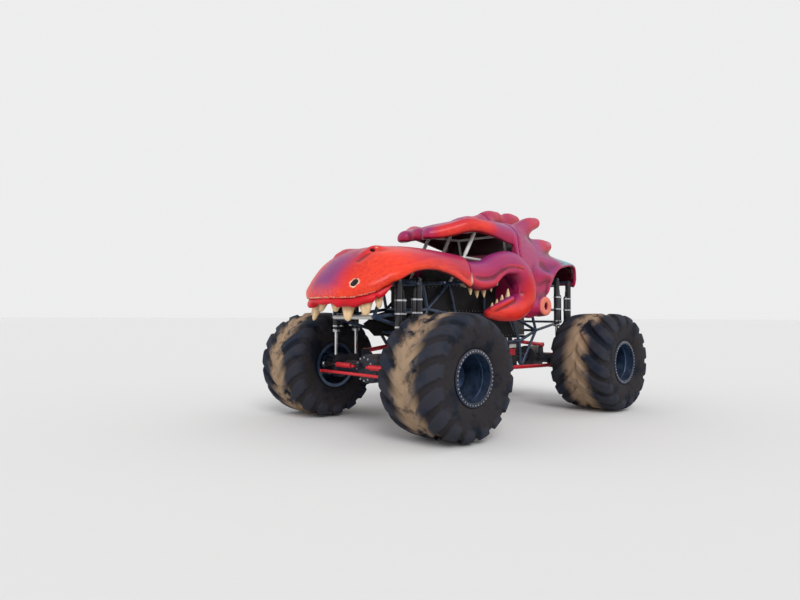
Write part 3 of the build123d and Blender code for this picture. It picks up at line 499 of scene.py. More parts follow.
def ring_faces(rings, steps):
    """Four-sided faces between rings of points that follow each other."""
    faces = []
    for row in range(rings - 1):
        for step in range(steps):
            ahead = (step + 1) % steps
            faces.append((row * steps + step, row * steps + ahead, (row + 1) * steps + ahead,
                          (row + 1) * steps + step))
    return faces


def lathe(name, profile, centre, axis=(0, 1, 0), steps=48):
    """A turned piece: profile rows are (along the axis, radius), closed at both ends when the radius is 0."""
    axis = Vector(axis).normalized()
    across = axis.orthogonal().normalized()
    up = axis.cross(across)
    centre = Vector(centre)
    points = []
    for along, radius in profile:
        for step in range(steps):
            turn = 2 * math.pi * step / steps
            points.append(centre + axis * along + (across * math.cos(turn) + up * math.sin(turn)) * radius)
    return tidied(solid(name, points, ring_faces(len(profile), steps)))


def pipe(name, route, radius, steps=10):
    """A round bar or hose along a route of points."""
    curve = bpy.data.curves.new(name, "CURVE")
    curve.dimensions = "3D"
    curve.bevel_depth = radius
    curve.bevel_resolution = max(steps // 4, 1)
    curve.use_fill_caps = True
    spline = curve.splines.new("NURBS")
    spline.points.add(len(route) - 1)
    for point, place in zip(spline.points, route):
        point.co = (*place, 1)
    spline.order_u = 3
    spline.use_endpoint_u = True
    holder = linked(name, curve)
    mesh = evaluated(holder)
    bpy.data.objects.remove(holder)
    return tidied(linked(name, mesh))


def joined(name, pieces):
    """One mesh object from several."""
    bm = bmesh.new()
    for piece in pieces:
        bm.from_mesh(piece.data)
    mesh = bpy.data.meshes.new(name)
    bm.to_mesh(mesh)
    bm.free()
    for piece in pieces:
        bpy.data.objects.remove(piece)
    merged = linked(name, mesh)
    mesh.polygons.foreach_set("use_smooth", [True] * len(mesh.polygons))
    mesh.set_sharp_from_angle(angle=math.radians(40))
    return merged


def finish_piece(piece, material, body, slot, *nodes):
    """Gives a piece its material and body, and hides the nodes it stands for. The slot is not used."""
    piece.data.materials.clear()
    piece.data.materials.append(material)
    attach(piece, body)
    if nodes:
        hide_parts(*nodes)
    return piece


# Materials

def add(tree, kind, settings=None, **inputs):
    """A node with its settings. Inputs go by the node's names, with _ for a space, as values or sockets."""
    made = tree.nodes.new(kind)
    for key, value in (settings or {}).items():
        setattr(made, key, value)
    for key, value in inputs.items():
        feed(tree, made.inputs[key.replace("_", " ")], value)
    return made


def feed(tree, socket, value):
    if isinstance(value, bpy.types.NodeSocket):
        tree.links.new(value, socket)
    else:
        socket.default_value = value


def mix(tree, factor, first, second):
    """Colour between two colours."""
    made = tree.nodes.new("ShaderNodeMix")
    made.data_type = "RGBA"
    for index, value in ((0, factor), (6, first), (7, second)):
        feed(tree, made.inputs[index], value)
    return made.outputs[2]


def maths(tree, operation, first, second=0.0):
    made = tree.nodes.new("ShaderNodeMath")
    made.operation = operation
    made.use_clamp = operation in ("MULTIPLY", "ADD", "SUBTRACT")
    feed(tree, made.inputs[0], first)
    feed(tree, made.inputs[1], second)
    return made.outputs[0]


def span(tree, value, low, high, bottom=0.0, top=1.0):
    """A value's range from low to high, spread from bottom to top."""
    ends = {"From_Min": low, "From_Max": high, "To_Min": bottom, "To_Max": top}
    return add(tree, "ShaderNodeMapRange", None, Value=value, **ends).outputs[0]


def group(name, inputs, outputs, kind="ShaderNodeTree"):
    """A node group with its named sockets. An input with no default keeps Blender's own."""
    tree = bpy.data.node_groups.new(name, kind)
    for label, socket_kind, default in inputs:
        socket = tree.interface.new_socket(name=label, in_out="INPUT", socket_type=socket_kind)
        if default is not None:
            socket.default_value = default
    for label, socket_kind in outputs:
        tree.interface.new_socket(name=label, in_out="OUTPUT", socket_type=socket_kind)
    return tree, tree.nodes.new("NodeGroupInput").outputs, tree.nodes.new("NodeGroupOutput").inputs


def once(store, name):
    """For the maker of a named tree or material: it runs once, and later what it made is found again."""
    def wrap(make):
        def found():
            kept = getattr(bpy.data, store)
            return kept[name] if name in kept else make(name)
        return found
    return wrap


def local(tree):
    """Each point's place in its own piece."""
    return add(tree, "ShaderNodeTexCoord").outputs["Object"]


def noise(tree, place, scale, detail, roughness=0.5):
    made = add(tree, "ShaderNodeTexNoise", None, Vector=place, Scale=scale, Detail=detail,
               Roughness=roughness)
    return made.outputs[0]


def stored(tree, name):
    """What mark() has stored on a piece."""
    return add(tree, "ShaderNodeAttribute", {"attribute_name": name}).outputs["Fac"]


FLOAT, VECTOR = "NodeSocketFloat", "NodeSocketVector"


@once("node_groups", "Worn patches")
def worn_group(name):
    """Broken-up mask, for chips, stains and scuffs."""
    tree, given, result = group(name, [("Scale", FLOAT, 8.0), ("Cover", FLOAT, 0.4), ("Edge", FLOAT, 0.05)],
                                [("Mask", FLOAT)])
    coarse = noise(tree, local(tree), given["Scale"], 6.0, 0.62)
    low = maths(tree, "SUBTRACT", 1.0, given["Cover"])
    feed(tree, result["Mask"], span(tree, coarse, low, maths(tree, "ADD", low, given["Edge"])))
    return tree


@once("node_groups", "Grain")
def grain_group(name):
    """Fine surface relief, as a normal."""
    tree, given, result = group(name, [("Scale", FLOAT, 60.0), ("Strength", FLOAT, 0.1),
                                       ("Depth", FLOAT, 0.002)],
                                [("Normal", VECTOR)])
    fine = noise(tree, local(tree), given["Scale"], 5.0, 0.55)
    bump = add(tree, "ShaderNodeBump", None, Strength=given["Strength"], Distance=given["Depth"], Height=fine)
    feed(tree, result["Normal"], bump.outputs[0])
    return tree


@once("node_groups", "Road dust")
def dust_group(name):
    """Speckled dust that lies on what faces up."""
    tree, given, result = group(name, [("Amount", FLOAT, 0.5), ("Scale", FLOAT, 5.0)], [("Mask", FLOAT)])
    place = add(tree, "ShaderNodeTexCoord").outputs
    facing = add(tree, "ShaderNodeSeparateXYZ", None, Vector=place["Normal"])
    up = span(tree, facing.outputs[2], -0.2, 1.0)
    speckle = span(tree, noise(tree, place["Object"], given["Scale"], 8.0, 0.7), 0.38, 0.66)
    feed(tree, result["Mask"], maths(tree, "MULTIPLY", maths(tree, "MULTIPLY", speckle, up), given["Amount"]))
    return tree


def effect(tree, made, **inputs):
    """What a shared group gives for the given inputs."""
    return add(tree, "ShaderNodeGroup", {"node_tree": made}, **inputs).outputs[0]


def surface(name):
    """A new material with its tree and its Principled shader."""
    material = bpy.data.materials.new(name)
    material.use_nodes = True
    tree = material.node_tree
    return material, tree, tree.nodes["Principled BSDF"]


def shader_sockets(shader, **inputs):
    """Plain numbers and colours on the shader's own sockets."""
    for key, value in inputs.items():
        shader.inputs[key.replace("_", " ")].default_value = value


def colour(values):
    return (*values[:3], 1.0)


@once("materials", "body_candy_red")
def body_paint(name):
    """Candy red under a clear coat, with airbrushed orange and painted highlights on its ridges, and painted
    violet sky reflection on its upper faces.
    """
    look = bpy.context.scene.truck_body
    material, tree, shader = surface(name)
    place = local(tree)
    airbrush_highlight, hollow, edge, sky_violet, teal_sheen, flesh, bare, hole_shade = (
        stored(tree, key) for key in ("airbrush_highlight", "hollow", "edge", "sky_violet", "teal_sheen", "flesh", "bare", "hole_shade"))
    strokes = add(tree, "ShaderNodeMapping", None, Vector=place, Rotation=(0.3, 0.5, 0.2),
                  Scale=(2.0, 9.0, 9.0))
    brush = noise(tree, strokes.outputs[0], 3.0, 5.0, 0.6)
    cloud = noise(tree, place, 1.7, 4.0)
    red = mix(tree, span(tree, cloud, 0.3, 0.7), colour(look.deep_red), colour(look.candy_red))
    # Painted sky reflection and shade: violet on the upper and rear faces
    tone = maths(tree, "MULTIPLY", sky_violet, span(tree, cloud, 0.25, 0.6, 0.55, 1.0))
    red = mix(tree, tone, red, colour(look.sky_violet))
    # Orange airbrush on ridges and lips, which also paints sunlit highlights there
    lift = maths(tree, "MULTIPLY", airbrush_highlight, span(tree, brush, 0.30, 0.62, 0.35, 1.0))
    red = mix(tree, lift, red, colour(look.orange))
    # Teal flakes on the tops of the rear arches: a painted sky reflection
    flakes = effect(tree, worn_group(), Scale=22.0, Cover=0.66, Edge=0.12)
    red = mix(tree, maths(tree, "MULTIPLY", teal_sheen, flakes), red, colour(look.teal_sheen))
    # Painted shade: maroon in the hollows, under overhangs and inside the shell
    red = mix(tree, hollow, red, colour(look.shade_maroon))
    chips = effect(tree, worn_group(), Scale=38.0, Cover=0.50, Edge=0.02)
    specks = effect(tree, worn_group(), Scale=55.0, Cover=0.26, Edge=0.02)
    scuffs = maths(tree, "MULTIPLY", span(tree, airbrush_highlight, 0.2, 0.9, 0.0, 0.5), specks)
    chip = maths(tree, "ADD", maths(tree, "MULTIPLY", span(tree, edge, 0.45, 0.75), chips), scuffs)
    red = mix(tree, flesh, red, colour(look.flesh))
    red = mix(tree, maths(tree, "ADD", chip, bare), red, colour(look.cream))
    # Painted shade: near black behind the nose's holes, so that they read dark
    feed(tree, shader.inputs["Base Color"], mix(tree, hole_shade, red, SHADE_BLACK))
    gloss = span(tree, brush, 0.3, 0.7, 0.34, 0.50)
    feed(tree, shader.inputs["Roughness"], maths(tree, "ADD", gloss, maths(tree, "MULTIPLY", chip, 0.35)))
    feed(tree, shader.inputs["Coat Weight"], maths(tree, "SUBTRACT", 0.22, chip))
    feed(tree, shader.inputs["Normal"], effect(tree, grain_group(), Scale=14.0, Strength=0.25, Depth=0.004))
    shader_sockets(shader, Coat_Roughness=0.16, Specular_IOR_Level=0.16)
    return material


def plain_finish(name, base, darker, scale=6.0, rough=(0.3, 0.5), metallic=0.0, coat=0.0, dust=0.25,
                 relief=0.08, relief_scale=90.0, shine=0.5):
    """A painted, cast or moulded finish: two tones, uneven gloss, dust and a fine relief."""
    material, tree, shader = surface(name)
    cloud = noise(tree, local(tree), scale, 6.0, 0.6)
    tone = mix(tree, span(tree, cloud, 0.3, 0.7), colour(darker), colour(base))
    dusting = effect(tree, dust_group(), Amount=dust, Scale=scale * 1.5)
    dirt = colour(bpy.context.scene.truck_wheels.dust)
    feed(tree, shader.inputs["Base Color"], mix(tree, dusting, tone, dirt))
    gloss = span(tree, cloud, 0.3, 0.7, *rough)
    feed(tree, shader.inputs["Roughness"], maths(tree, "ADD", gloss, maths(tree, "MULTIPLY", dusting, 0.4)))
    if metallic:
        feed(tree, shader.inputs["Metallic"], maths(tree, "SUBTRACT", metallic, dusting))
    grain = effect(tree, grain_group(), Scale=relief_scale, Strength=relief, Depth=0.002)
    feed(tree, shader.inputs["Normal"], grain)
    shader_sockets(shader, Coat_Weight=coat, Coat_Roughness=0.1, Specular_IOR_Level=shine)
    return material


def chosen(value):
    """A colour: the numbers themselves, or the name of the setting that holds them."""
    if not isinstance(value, str):
        return value
    owner = next(owner for owner, kind in SETTINGS if value in kind.__annotations__)
    return getattr(getattr(bpy.context.scene, owner), value)


def plain(name):
    """A finish from the table of plain finishes."""
    if name in bpy.data.materials:
        return bpy.data.materials[name]
    base, darker, rest = PLAIN_FINISHES[name]
    return plain_finish(name, chosen(base), chosen(darker), **rest)


@once("materials", "dusty_rubber")
def tyre_rubber(name):
    """Dark rubber with a painted blue skylight tint, brown dust on the tread that also paints a sunlit strip, lug
    tops lighter as wear and painted highlight, and a smooth sidewall.
    """
    look = bpy.context.scene.truck_wheels
    material, tree, shader = surface(name)
    tread, crown = stored(tree, "tread"), stored(tree, "lug")
    cloud = noise(tree, local(tree), 3.5, 7.0, 0.65)
    rubber = mix(tree, span(tree, cloud, 0.3, 0.7), colour(look.rubber), colour(look.grey_rubber))
    # Lighter lug tops: wear, and a painted highlight
    rubber = mix(tree, maths(tree, "MULTIPLY", crown, 0.75), rubber, colour(look.worn_lug_highlight))
    patches = effect(tree, worn_group(), Scale=2.6, Cover=0.60, Edge=0.10)
    # Dust on the tread's middle, which also paints the sunlit strip there
    low = maths(tree, "MULTIPLY", span(tree, tread, 0.05, 0.9, 0.05, 1.0), patches)
    caked = maths(tree, "MULTIPLY", low, span(tree, crown, 0.0, 1.0, look.dust_in_grooves, look.dust_on_lugs))
    feed(tree, shader.inputs["Base Color"], mix(tree, caked, rubber, colour(look.dust)))
    feed(tree, shader.inputs["Roughness"], span(tree, cloud, 0.3, 0.7, 0.58, 0.82))
    feed(tree, shader.inputs["Normal"], effect(tree, grain_group(), Scale=55.0, Strength=0.35, Depth=0.004))
    shader_sockets(shader, Specular_IOR_Level=0.07)
    return material


@once("materials", "tooth_enamel")
def ivory(name):
    """Tooth enamel: cream, browner at the root and scratched."""
    look = bpy.context.scene.truck_body
    material, tree, shader = surface(name)
    streak = add(tree, "ShaderNodeMapping", None, Vector=local(tree), Scale=(30.0, 30.0, 6.0))
    grime = noise(tree, streak.outputs[0], 1.0, 6.0, 0.65)
    tone = mix(tree, span(tree, grime, 0.35, 0.7), colour(look.ivory), colour(look.stain))
    stained = maths(tree, "MULTIPLY", stored(tree, "root"), span(tree, grime, 0.2, 0.6, 0.4, 1.0))
    feed(tree, shader.inputs["Base Color"], mix(tree, stained, tone, colour(look.stain)))
    feed(tree, shader.inputs["Roughness"], span(tree, grime, 0.3, 0.7, 0.32, 0.5))
    feed(tree, shader.inputs["Normal"], effect(tree, grain_group(), Scale=40.0, Strength=0.3, Depth=0.003))
    shader_sockets(shader, Coat_Weight=0.25)
    return material


# Painted, cast and moulded finishes: base colour, darker colour, and what differs from plain_finish's values.
# A colour that is a name is one of the settings
PLAIN_FINISHES = {
    "frame_blue_black": ("tube", "tube_dark", {"rough": (0.22, 0.38), "coat": 0.3, "dust": 0.12,
                                               "shine": 0.3}),
    "cage_pale": ("cage", "cage_dark", {"rough": (0.3, 0.45), "coat": 0.3, "dust": 0.15}),
    "axle_satin": ("axle", "tube_dark", {"rough": (0.4, 0.6), "dust": 0.35, "shine": 0.25}),
    "steering_red": ("steering", "steering_dark", {"rough": (0.22, 0.35), "coat": 0.6, "dust": 0.12}),
    "bright_chrome": ((0.72, 0.73, 0.75), (0.6, 0.61, 0.63),
                      {"rough": (0.08, 0.2), "metallic": 1.0, "dust": 0.05, "relief": 0.03}),
    "bolt_zinc": ((0.55, 0.56, 0.58), (0.3, 0.31, 0.33),
                  {"scale": 30.0, "rough": (0.3, 0.45), "metallic": 0.8, "dust": 0.2}),
    "rim_dark_blue": ("rim", "rim_dark", {"rough": (0.25, 0.4), "metallic": 0.5, "coat": 0.3, "dust": 0.15}),
    "beadlock_black": ("ring", "rim_dark", {"rough": (0.3, 0.45), "coat": 0.15, "dust": 0.15, "shine": 0.25}),
    "shock_gloss_black": ((0.03, 0.03, 0.035), (0.015, 0.015, 0.02),
                          {"rough": (0.2, 0.35), "coat": 0.25, "dust": 0.1, "shine": 0.25}),
    "panel_matt_black": ((0.028, 0.028, 0.03), (0.010, 0.010, 0.012),
                         {"rough": (0.5, 0.7), "dust": 0.15, "shine": 0.15}),
    "alloy_brushed": ((0.62, 0.64, 0.67), (0.45, 0.46, 0.49),
                      {"scale": 9.0, "rough": (0.22, 0.4), "metallic": 0.9, "dust": 0.2}),
    "cast_grey": ((0.2, 0.2, 0.21), (0.1, 0.1, 0.105),
                  {"scale": 14.0, "rough": (0.5, 0.7), "metallic": 0.6, "dust": 0.3, "relief": 0.3}),
    "seat_vinyl": ((0.035, 0.035, 0.038), (0.02, 0.02, 0.022),
                   {"rough": (0.42, 0.6), "dust": 0.15, "relief": 0.25, "relief_scale": 140.0,
                    "shine": 0.25}),
    "gum_gloss_red": ("gum", "gum_dark",
                      {"scale": 5.0, "rough": (0.34, 0.5), "coat": 0.08, "dust": 0.0, "shine": 0.2}),
    "hose_black": ((0.025, 0.025, 0.027), (0.012, 0.012, 0.013), {"rough": (0.45, 0.6), "dust": 0.2}),
    "harness_webbing": ((0.45, 0.012, 0.02), (0.28, 0.008, 0.014),
                        {"scale": 20.0, "rough": (0.6, 0.8), "dust": 0.1, "relief": 0.4,
                         "relief_scale": 260.0}),
    "placard_white": ((0.62, 0.60, 0.58), (0.434, 0.42, 0.406),
                      {"scale": 12.0, "rough": (0.35, 0.5), "coat": 0.2, "dust": 0.3}),
    "placard_red": ((0.50, 0.03, 0.05), (0.35, 0.021, 0.035),
                    {"scale": 12.0, "rough": (0.35, 0.5), "coat": 0.2, "dust": 0.3}),
}
# The plain finish of each of the frame's material slots
SLOT_FINISHES = {
    "frame_blue": "frame_blue_black", "cage_white": "cage_pale", "axle_black": "axle_satin",
    "steering_red": "steering_red", "shock_black": "shock_gloss_black", "chrome_rod": "bright_chrome",
    "engine_grey": "cast_grey", "tank_alloy": "alloy_brushed", "panel_black": "panel_matt_black",
    "seat_black": "seat_vinyl", "rim_blue": "rim_dark_blue", "body_red": "gum_gloss_red",
    "gum_red": "gum_gloss_red",
}
# Painted shade behind the nose's holes
SHADE_BLACK = (0.008, 0.008, 0.009, 1.0)


# The settings that a user would change

def tint(name, description, default):
    return FloatVectorProperty(name=name, description=description, subtype="COLOR", default=default, min=0,
                               max=1)


class TruckBodySettings(bpy.types.PropertyGroup):
    voxel: FloatProperty(name="Sculpting step", description="Spacing of the samples behind the skins",
                         default=0.018, min=0.01, max=0.05, unit="LENGTH")
    wall: FloatProperty(name="Shell wall", description="Thickness of the body's shell", default=0.045,
                        min=0.02, max=0.1, unit="LENGTH")
    fillet: FloatProperty(name="Fillet", description="How softly the horns grow out of the shell",
                          default=0.13, min=0.01, max=0.3, unit="LENGTH")
    candy_red: tint("Candy red", "The body's main colour", (0.74, 0.014, 0.014))
    deep_red: tint("Deep red", "The darker clouds in the main colour", (0.44, 0.006, 0.020))
    # Orange: airbrush, and painted sunlit highlights on ridges and lips
    orange: tint("Orange", "Airbrushed on ridges and lips", (0.94, 0.072, 0.020))
    # Violet: painted sky reflection and shade on the upper and rear faces
    sky_violet: tint("Violet", "Airbrushed on the upper and rear faces", (0.235, 0.026, 0.160))
    # Maroon: painted shade in hollows, under overhangs and inside the shell
    shade_maroon: tint("Maroon", "In the hollows and inside the shell", (0.050, 0.002, 0.008))
    # Teal: a painted sky reflection, in flakes, on top of the rear arches
    teal_sheen: tint("Teal", "The greenish flakes on top of the rear arches", (0.14, 0.38, 0.44))
    flesh: tint("Flesh", "The bare ends of the cheek stumps", (0.78, 0.20, 0.13))
    cream: tint("Cream", "The filler that shows where paint is chipped", (0.78, 0.66, 0.48))
    gum: tint("Gum red", "The gum's bright red", (0.78, 0.004, 0.020))
    gum_dark: tint("Gum shade", "The gum's darker clouds", (0.42, 0.004, 0.010))
    ivory: tint("Ivory", "The teeth", (0.86, 0.62, 0.34))
    stain: tint("Stain", "The teeth's roots and streaks", (0.48, 0.33, 0.17))


class TruckWheelSettings(bpy.types.PropertyGroup):
    lugs: IntProperty(name="Lugs on each side", description="Tread bars on each half of a tyre", default=16,
                      min=6)
    lug_height: FloatProperty(name="Lug height", description="How far the tread bars stand out",
                              default=0.038, min=0.01, max=0.1, unit="LENGTH")
    ring_bolts: IntProperty(name="Ring bolts", description="Bolts on each bead ring", default=40, min=8)
    # The rubbers' blue tint is painted skylight
    rubber: tint("Rubber", "The tyres", (0.007, 0.009, 0.015))
    # Lug tops: worn rubber, and a painted highlight that shows their relief
    worn_lug_highlight: tint("Lug rubber", "The worn tops of the tread bars", (0.024, 0.031, 0.050))
    grey_rubber: tint("Grey rubber", "The tyres' paler patches", (0.014, 0.018, 0.028))
    dust: tint("Dust", "Dried dirt", (0.43, 0.300, 0.195))
    dust_in_grooves: FloatProperty(name="Dust in the grooves", description="Between the lugs", default=0.85,
                                   min=0, max=1)
    dust_on_lugs: FloatProperty(name="Dust on the lugs", description="On top of the lugs", default=0.70,
                                min=0, max=1)
    rim: tint("Rim blue", "The wheels", (0.060, 0.115, 0.210))
    rim_dark: tint("Rim shade", "The wheels' darker clouds", (0.012, 0.026, 0.065))
    ring: tint("Ring black", "The bead rings", (0.02, 0.022, 0.03))


class TruckChassisSettings(bpy.types.PropertyGroup):
    tube: tint("Frame blue-black", "The tube frame", (0.045, 0.080, 0.15))
    tube_dark: tint("Frame shade", "The frame's darker clouds", (0.012, 0.022, 0.048))
    cage: tint("Cage grey", "The roll cage", (0.80, 0.79, 0.74))
    cage_dark: tint("Cage shade", "The cage's darker clouds", (0.58, 0.59, 0.58))
    axle: tint("Axle black", "The axles and knuckles", (0.035, 0.035, 0.042))
    steering: tint("Steering red", "The rams and tie rods", (0.60, 0.012, 0.025))
    steering_dark: tint("Steering shade", "Their darker clouds", (0.34, 0.008, 0.015))


class TruckStageSettings(bpy.types.PropertyGroup):
    lens: FloatProperty(name="Lens", description="Focal length on a 36 mm sensor, in millimetres",
                        default=26.68)
    yaw: FloatProperty(name="Camera yaw", description="Where the camera looks, from +X towards +Y",
                       default=math.radians(-133.06), subtype="ANGLE")
    pitch: FloatProperty(name="Camera pitch", description="How far the camera looks up",
                         default=math.radians(1.56), subtype="ANGLE")
    roll: FloatProperty(name="Camera roll", description="The camera's tilt", default=math.radians(0.17),
                        subtype="ANGLE")
    place: FloatVectorProperty(name="Camera place", description="From between the axles, on the ground",
                               default=(7.550, 6.532, 1.576), subtype="TRANSLATION")
    floor: tint("Floor", "The floor and the backdrop", (0.80, 0.80, 0.80))
    sky: FloatProperty(name="Room light", description="Strength of the even light", default=0.55, min=0)
    key: FloatProperty(name="Key light", description="Strength of the main soft lamp", default=1.5, min=0)


# The operators

def make_stage():
    look = bpy.context.scene.truck_stage
    size = 400.0
    floor = solid("studio_floor", [(-size, -size, 0), (size, -size, 0), (size, size, 0), (-size, size, 0)],
                  [(0, 1, 2, 3)])
    material, _, shader = surface("studio_floor")
    shader_sockets(shader, Base_Color=colour(look.floor), Roughness=0.9, Specular_IOR_Level=0.1)
    floor.data.materials.append(material)
    world = bpy.data.worlds.new("studio")
    bpy.context.scene.world = world
    world.use_nodes = True
    tree = world.node_tree
    tree.nodes.clear()
    rays = add(tree, "ShaderNodeLightPath")
    room = add(tree, "ShaderNodeBackground", None, Color=(1.0, 1.0, 1.0, 1.0), Strength=look.sky)
    seen = add(tree, "ShaderNodeBackground", None, Color=(0.85, 0.85, 0.852, 1.0), Strength=1.0)
    shown = maths(tree, "MAXIMUM", rays.outputs["Is Camera Ray"], rays.outputs["Is Glossy Ray"])
    shown = maths(tree, "MAXIMUM", shown, rays.outputs["Is Transmission Ray"])
    blend = tree.nodes.new("ShaderNodeMixShader")
    feed(tree, blend.inputs[0], shown)
    feed(tree, blend.inputs[1], room.outputs[0])
    feed(tree, blend.inputs[2], seen.outputs[0])
    output = tree.nodes.new("ShaderNodeOutputWorld")
    tree.links.new(blend.outputs[0], output.inputs[0])
    for name, place, softness, power in (("key", (4.5, 7.5, 7.0), 30.0, look.key),
                                         ("fill", (7.0, -5.0, 4.0), 60.0, look.key * 0.35),
                                         ("back", (-6.0, 5.0, 5.0), 60.0, look.key * 0.30)):
        lamp = bpy.data.lights.new(name, "SUN")
        lamp.angle, lamp.energy = math.radians(softness), power
        holder = linked(name, lamp)
        holder.location = place
        holder.rotation_euler = (-Vector(place)).to_track_quat("-Z", "Y").to_euler()
    camera = bpy.data.cameras.new("camera")
    camera.sensor_fit, camera.sensor_width, camera.lens = "HORIZONTAL", 36.0, look.lens
    camera.clip_end = 1200.0
    holder = linked("camera", camera)
    ahead = Vector((math.cos(look.yaw) * math.cos(look.pitch), math.sin(look.yaw) * math.cos(look.pitch),
                    math.sin(look.pitch)))
    level = Vector((math.sin(look.yaw), -math.cos(look.yaw), 0))
    upright = level.cross(ahead)
    right = math.cos(look.roll) * level + math.sin(look.roll) * upright
    up = math.cos(look.roll) * upright - math.sin(look.roll) * level
    turned = Matrix((right, up, -ahead)).transposed().to_4x4()
    holder.matrix_world = Matrix.Translation(Vector(look.place) + Vector((MIDDLE_X, 0, 0))) @ turned
    bpy.context.scene.camera = holder
    bpy.context.scene.view_settings.view_transform = "Standard"


def upper_faces(piece, low, high):
    """How far each point faces up, from 0 to 1."""
    return ramp(normals(piece)[:, 2], low, high)


def hollows(piece, reach=6, gain=9.0):
    """How sunk each point lies, over 0 in a hollow, from the mesh against its own smoothed shape."""
    mesh = piece.data
    count = len(mesh.vertices)
    edges = np.empty(len(mesh.edges) * 2, int)
    mesh.edges.foreach_get("vertices", edges)
    a, b = edges.reshape(-1, 2).T
    places = coordinates(piece)
    links = np.maximum(np.bincount(a, minlength=count) + np.bincount(b, minlength=count), 1)
    soft = places.copy()
    for _ in range(reach):
        total = np.zeros_like(soft)
        for axis in range(3):
            total[:, axis] = (np.bincount(a, soft[b, axis], count) + np.bincount(b, soft[a, axis], count))
        soft = total / links[:, None]
    sunk = np.einsum("ij,ij->i", soft - places, normals(piece))
    return np.clip(sunk * gain / bpy.context.scene.truck_body.voxel, -1, 1)


def build_snout():
    look = bpy.context.scene.truck_body
    low, high = (0.80 + MIDDLE_X, -1.02, 1.60), (3.0 + MIDDLE_X, 1.02, 2.75)
    clay = Clay(low, high, look.voxel)
    rows = smoothed(SNOUT, 6)
    longer = rows.copy()
    longer[0, 0] -= 0.05
    form = clay.loft([arch_ring(row, 0.18) for row in longer])
    for side in (1, -1):
        form = clay.grow(form, NOSE_BUMP, 0.10, side)
        form = clay.grow(form, [(*spot, 0.060, 0.060) for spot in NOSE_RIM], 0.06, side)
        form = clay.carve(form, NOSE_DIP, 0.06, side, margin=0.15)
    shell = cut(form, form + look.wall, 0.015)
    lip_x, lip_z = rows[:, 0] + MIDDLE_X, rows[:, 2]
    order = np.argsort(lip_x)
    lip = np.interp(clay.x, lip_x[order], lip_z[order])
    shell = -melt(-shell, clay.z - lip, 0.02)
    shell = -melt(-shell, clay.x - (SEAM_X + SEAM_GAP / 2 + MIDDLE_X), 0.01)
    for side in (1, -1):
        shell = clay.carve(shell, NOSTRIL, 0.02, side, steps=1, margin=0.1)
        slot = FAR
        for spot in eyelet_axes(side):
            rows_here = np.column_stack([spot, np.full((2, 2), EYELET_RADIUS)])
            slot = np.minimum(slot, clay.chain(rows_here, steps=1, margin=0.1))
        shell = cut(shell, slot, 0.008)
    # A backing inside the wall behind each eyelet, painted near black as the shade seen through the hole
    eyelet = [(x, 0.55, z) for x, z in EYELET_HOLES]
    for side in (1, -1):
        behind = clay.chain(placed([(*spot, 0.11, 0.11) for spot in eyelet], side), steps=1, margin=0.1)
        shade_backing = np.maximum.reduce([form + look.wall * 0.8, -(form + look.wall * 1.7), behind])
        shell = np.minimum(shell, shade_backing)
    piece = clay.skin("snout_skin", shell)
    points = coordinates(piece)
    depth = -clay.sample(form, points)
    inside = ramp(depth, *(look.wall * share for share in INNER_SKIN))
    sunk = hollows(piece)
    left_lip = placed(rows[:, :3])
    lip_reach = line_distance(points, np.vstack([left_lip, (left_lip * [1, -1, 1])[::-1]]))
    off_centre = np.abs(points[:, 1])
    muzzle = ramp(points[:, 0], 1.4 + MIDDLE_X, 2.3 + MIDDLE_X)
    # Orange on the lip, airbrushed, and on the muzzle's sides as a painted sunlit highlight
    glow = np.maximum(fade(lip_reach, 0.02, 0.26) * 0.9, muzzle * ramp(off_centre, 0.20, 0.58) * 0.75)
    mark(piece, "airbrush_highlight", glow * (1 - inside))
    # Painted shade under the lip, inside the shell and in hollows
    under = ramp(-normals(piece)[:, 2], 0.35, 0.85) * fade(points[:, 0], 2.45 + MIDDLE_X, 2.62 + MIDDLE_X)
    mark(piece, "hollow", np.maximum.reduce([inside, under * 0.9, np.clip(sunk, 0, 1) * 0.55]))
    hole_reach = nearest(points, [axis for side in (1, -1) for axis in eyelet_axes(side)])
    hole_reach = hole_reach + 0.003 * np.sin(points @ [95.0, 60.0, 140.0])
    frayed = fade(lip_reach, 0.012, 0.055) * ramp(points[:, 0], 2.25 + MIDDLE_X, 2.6 + MIDDLE_X)
    mark(piece, "edge", frayed * 0.72 * (1 - inside * 0.6))
    rim = fade(hole_reach, EYELET_RADIUS + 0.012, EYELET_RADIUS + 0.020) * fade(depth, 0.006, 0.014)
    nostril_reach = spot_distance(points, (2.26, 0.40, 2.53))
    mark(piece, "bare", np.maximum(rim, fade(nostril_reach, 0.012, 0.032) * 0.7))
    # Painted shade: the backing behind the eyelet near black
    mark(piece, "hole_shade", fade(hole_reach, 0.06, 0.10) * ramp(depth, 0.010, 0.020))
    # Painted violet sky reflection and shade on the upper faces, the nose's front and the hood's sides
    facing = normals(piece)
    top = upper_faces(piece, 0.25, 0.9) * (1 - ramp(off_centre, 0.05, 0.5) * muzzle)
    nose = ramp(points[:, 0], 2.15 + MIDDLE_X, 2.55 + MIDDLE_X) * fade(off_centre, 0.08, 0.44)
    nose *= ramp(facing[:, 0] * 0.6 + facing[:, 2] * 0.6 - facing[:, 1] * 0.3, 0.25, 0.65)
    hood = fade(points[:, 0], 1.2 + MIDDLE_X, 1.9 + MIDDLE_X) * 0.35
    mark(piece, "sky_violet", np.maximum.reduce([top * 0.6, nose, hood]))
    finish_piece(piece, body_paint(), "chassis", "body_red", "snout_shell")


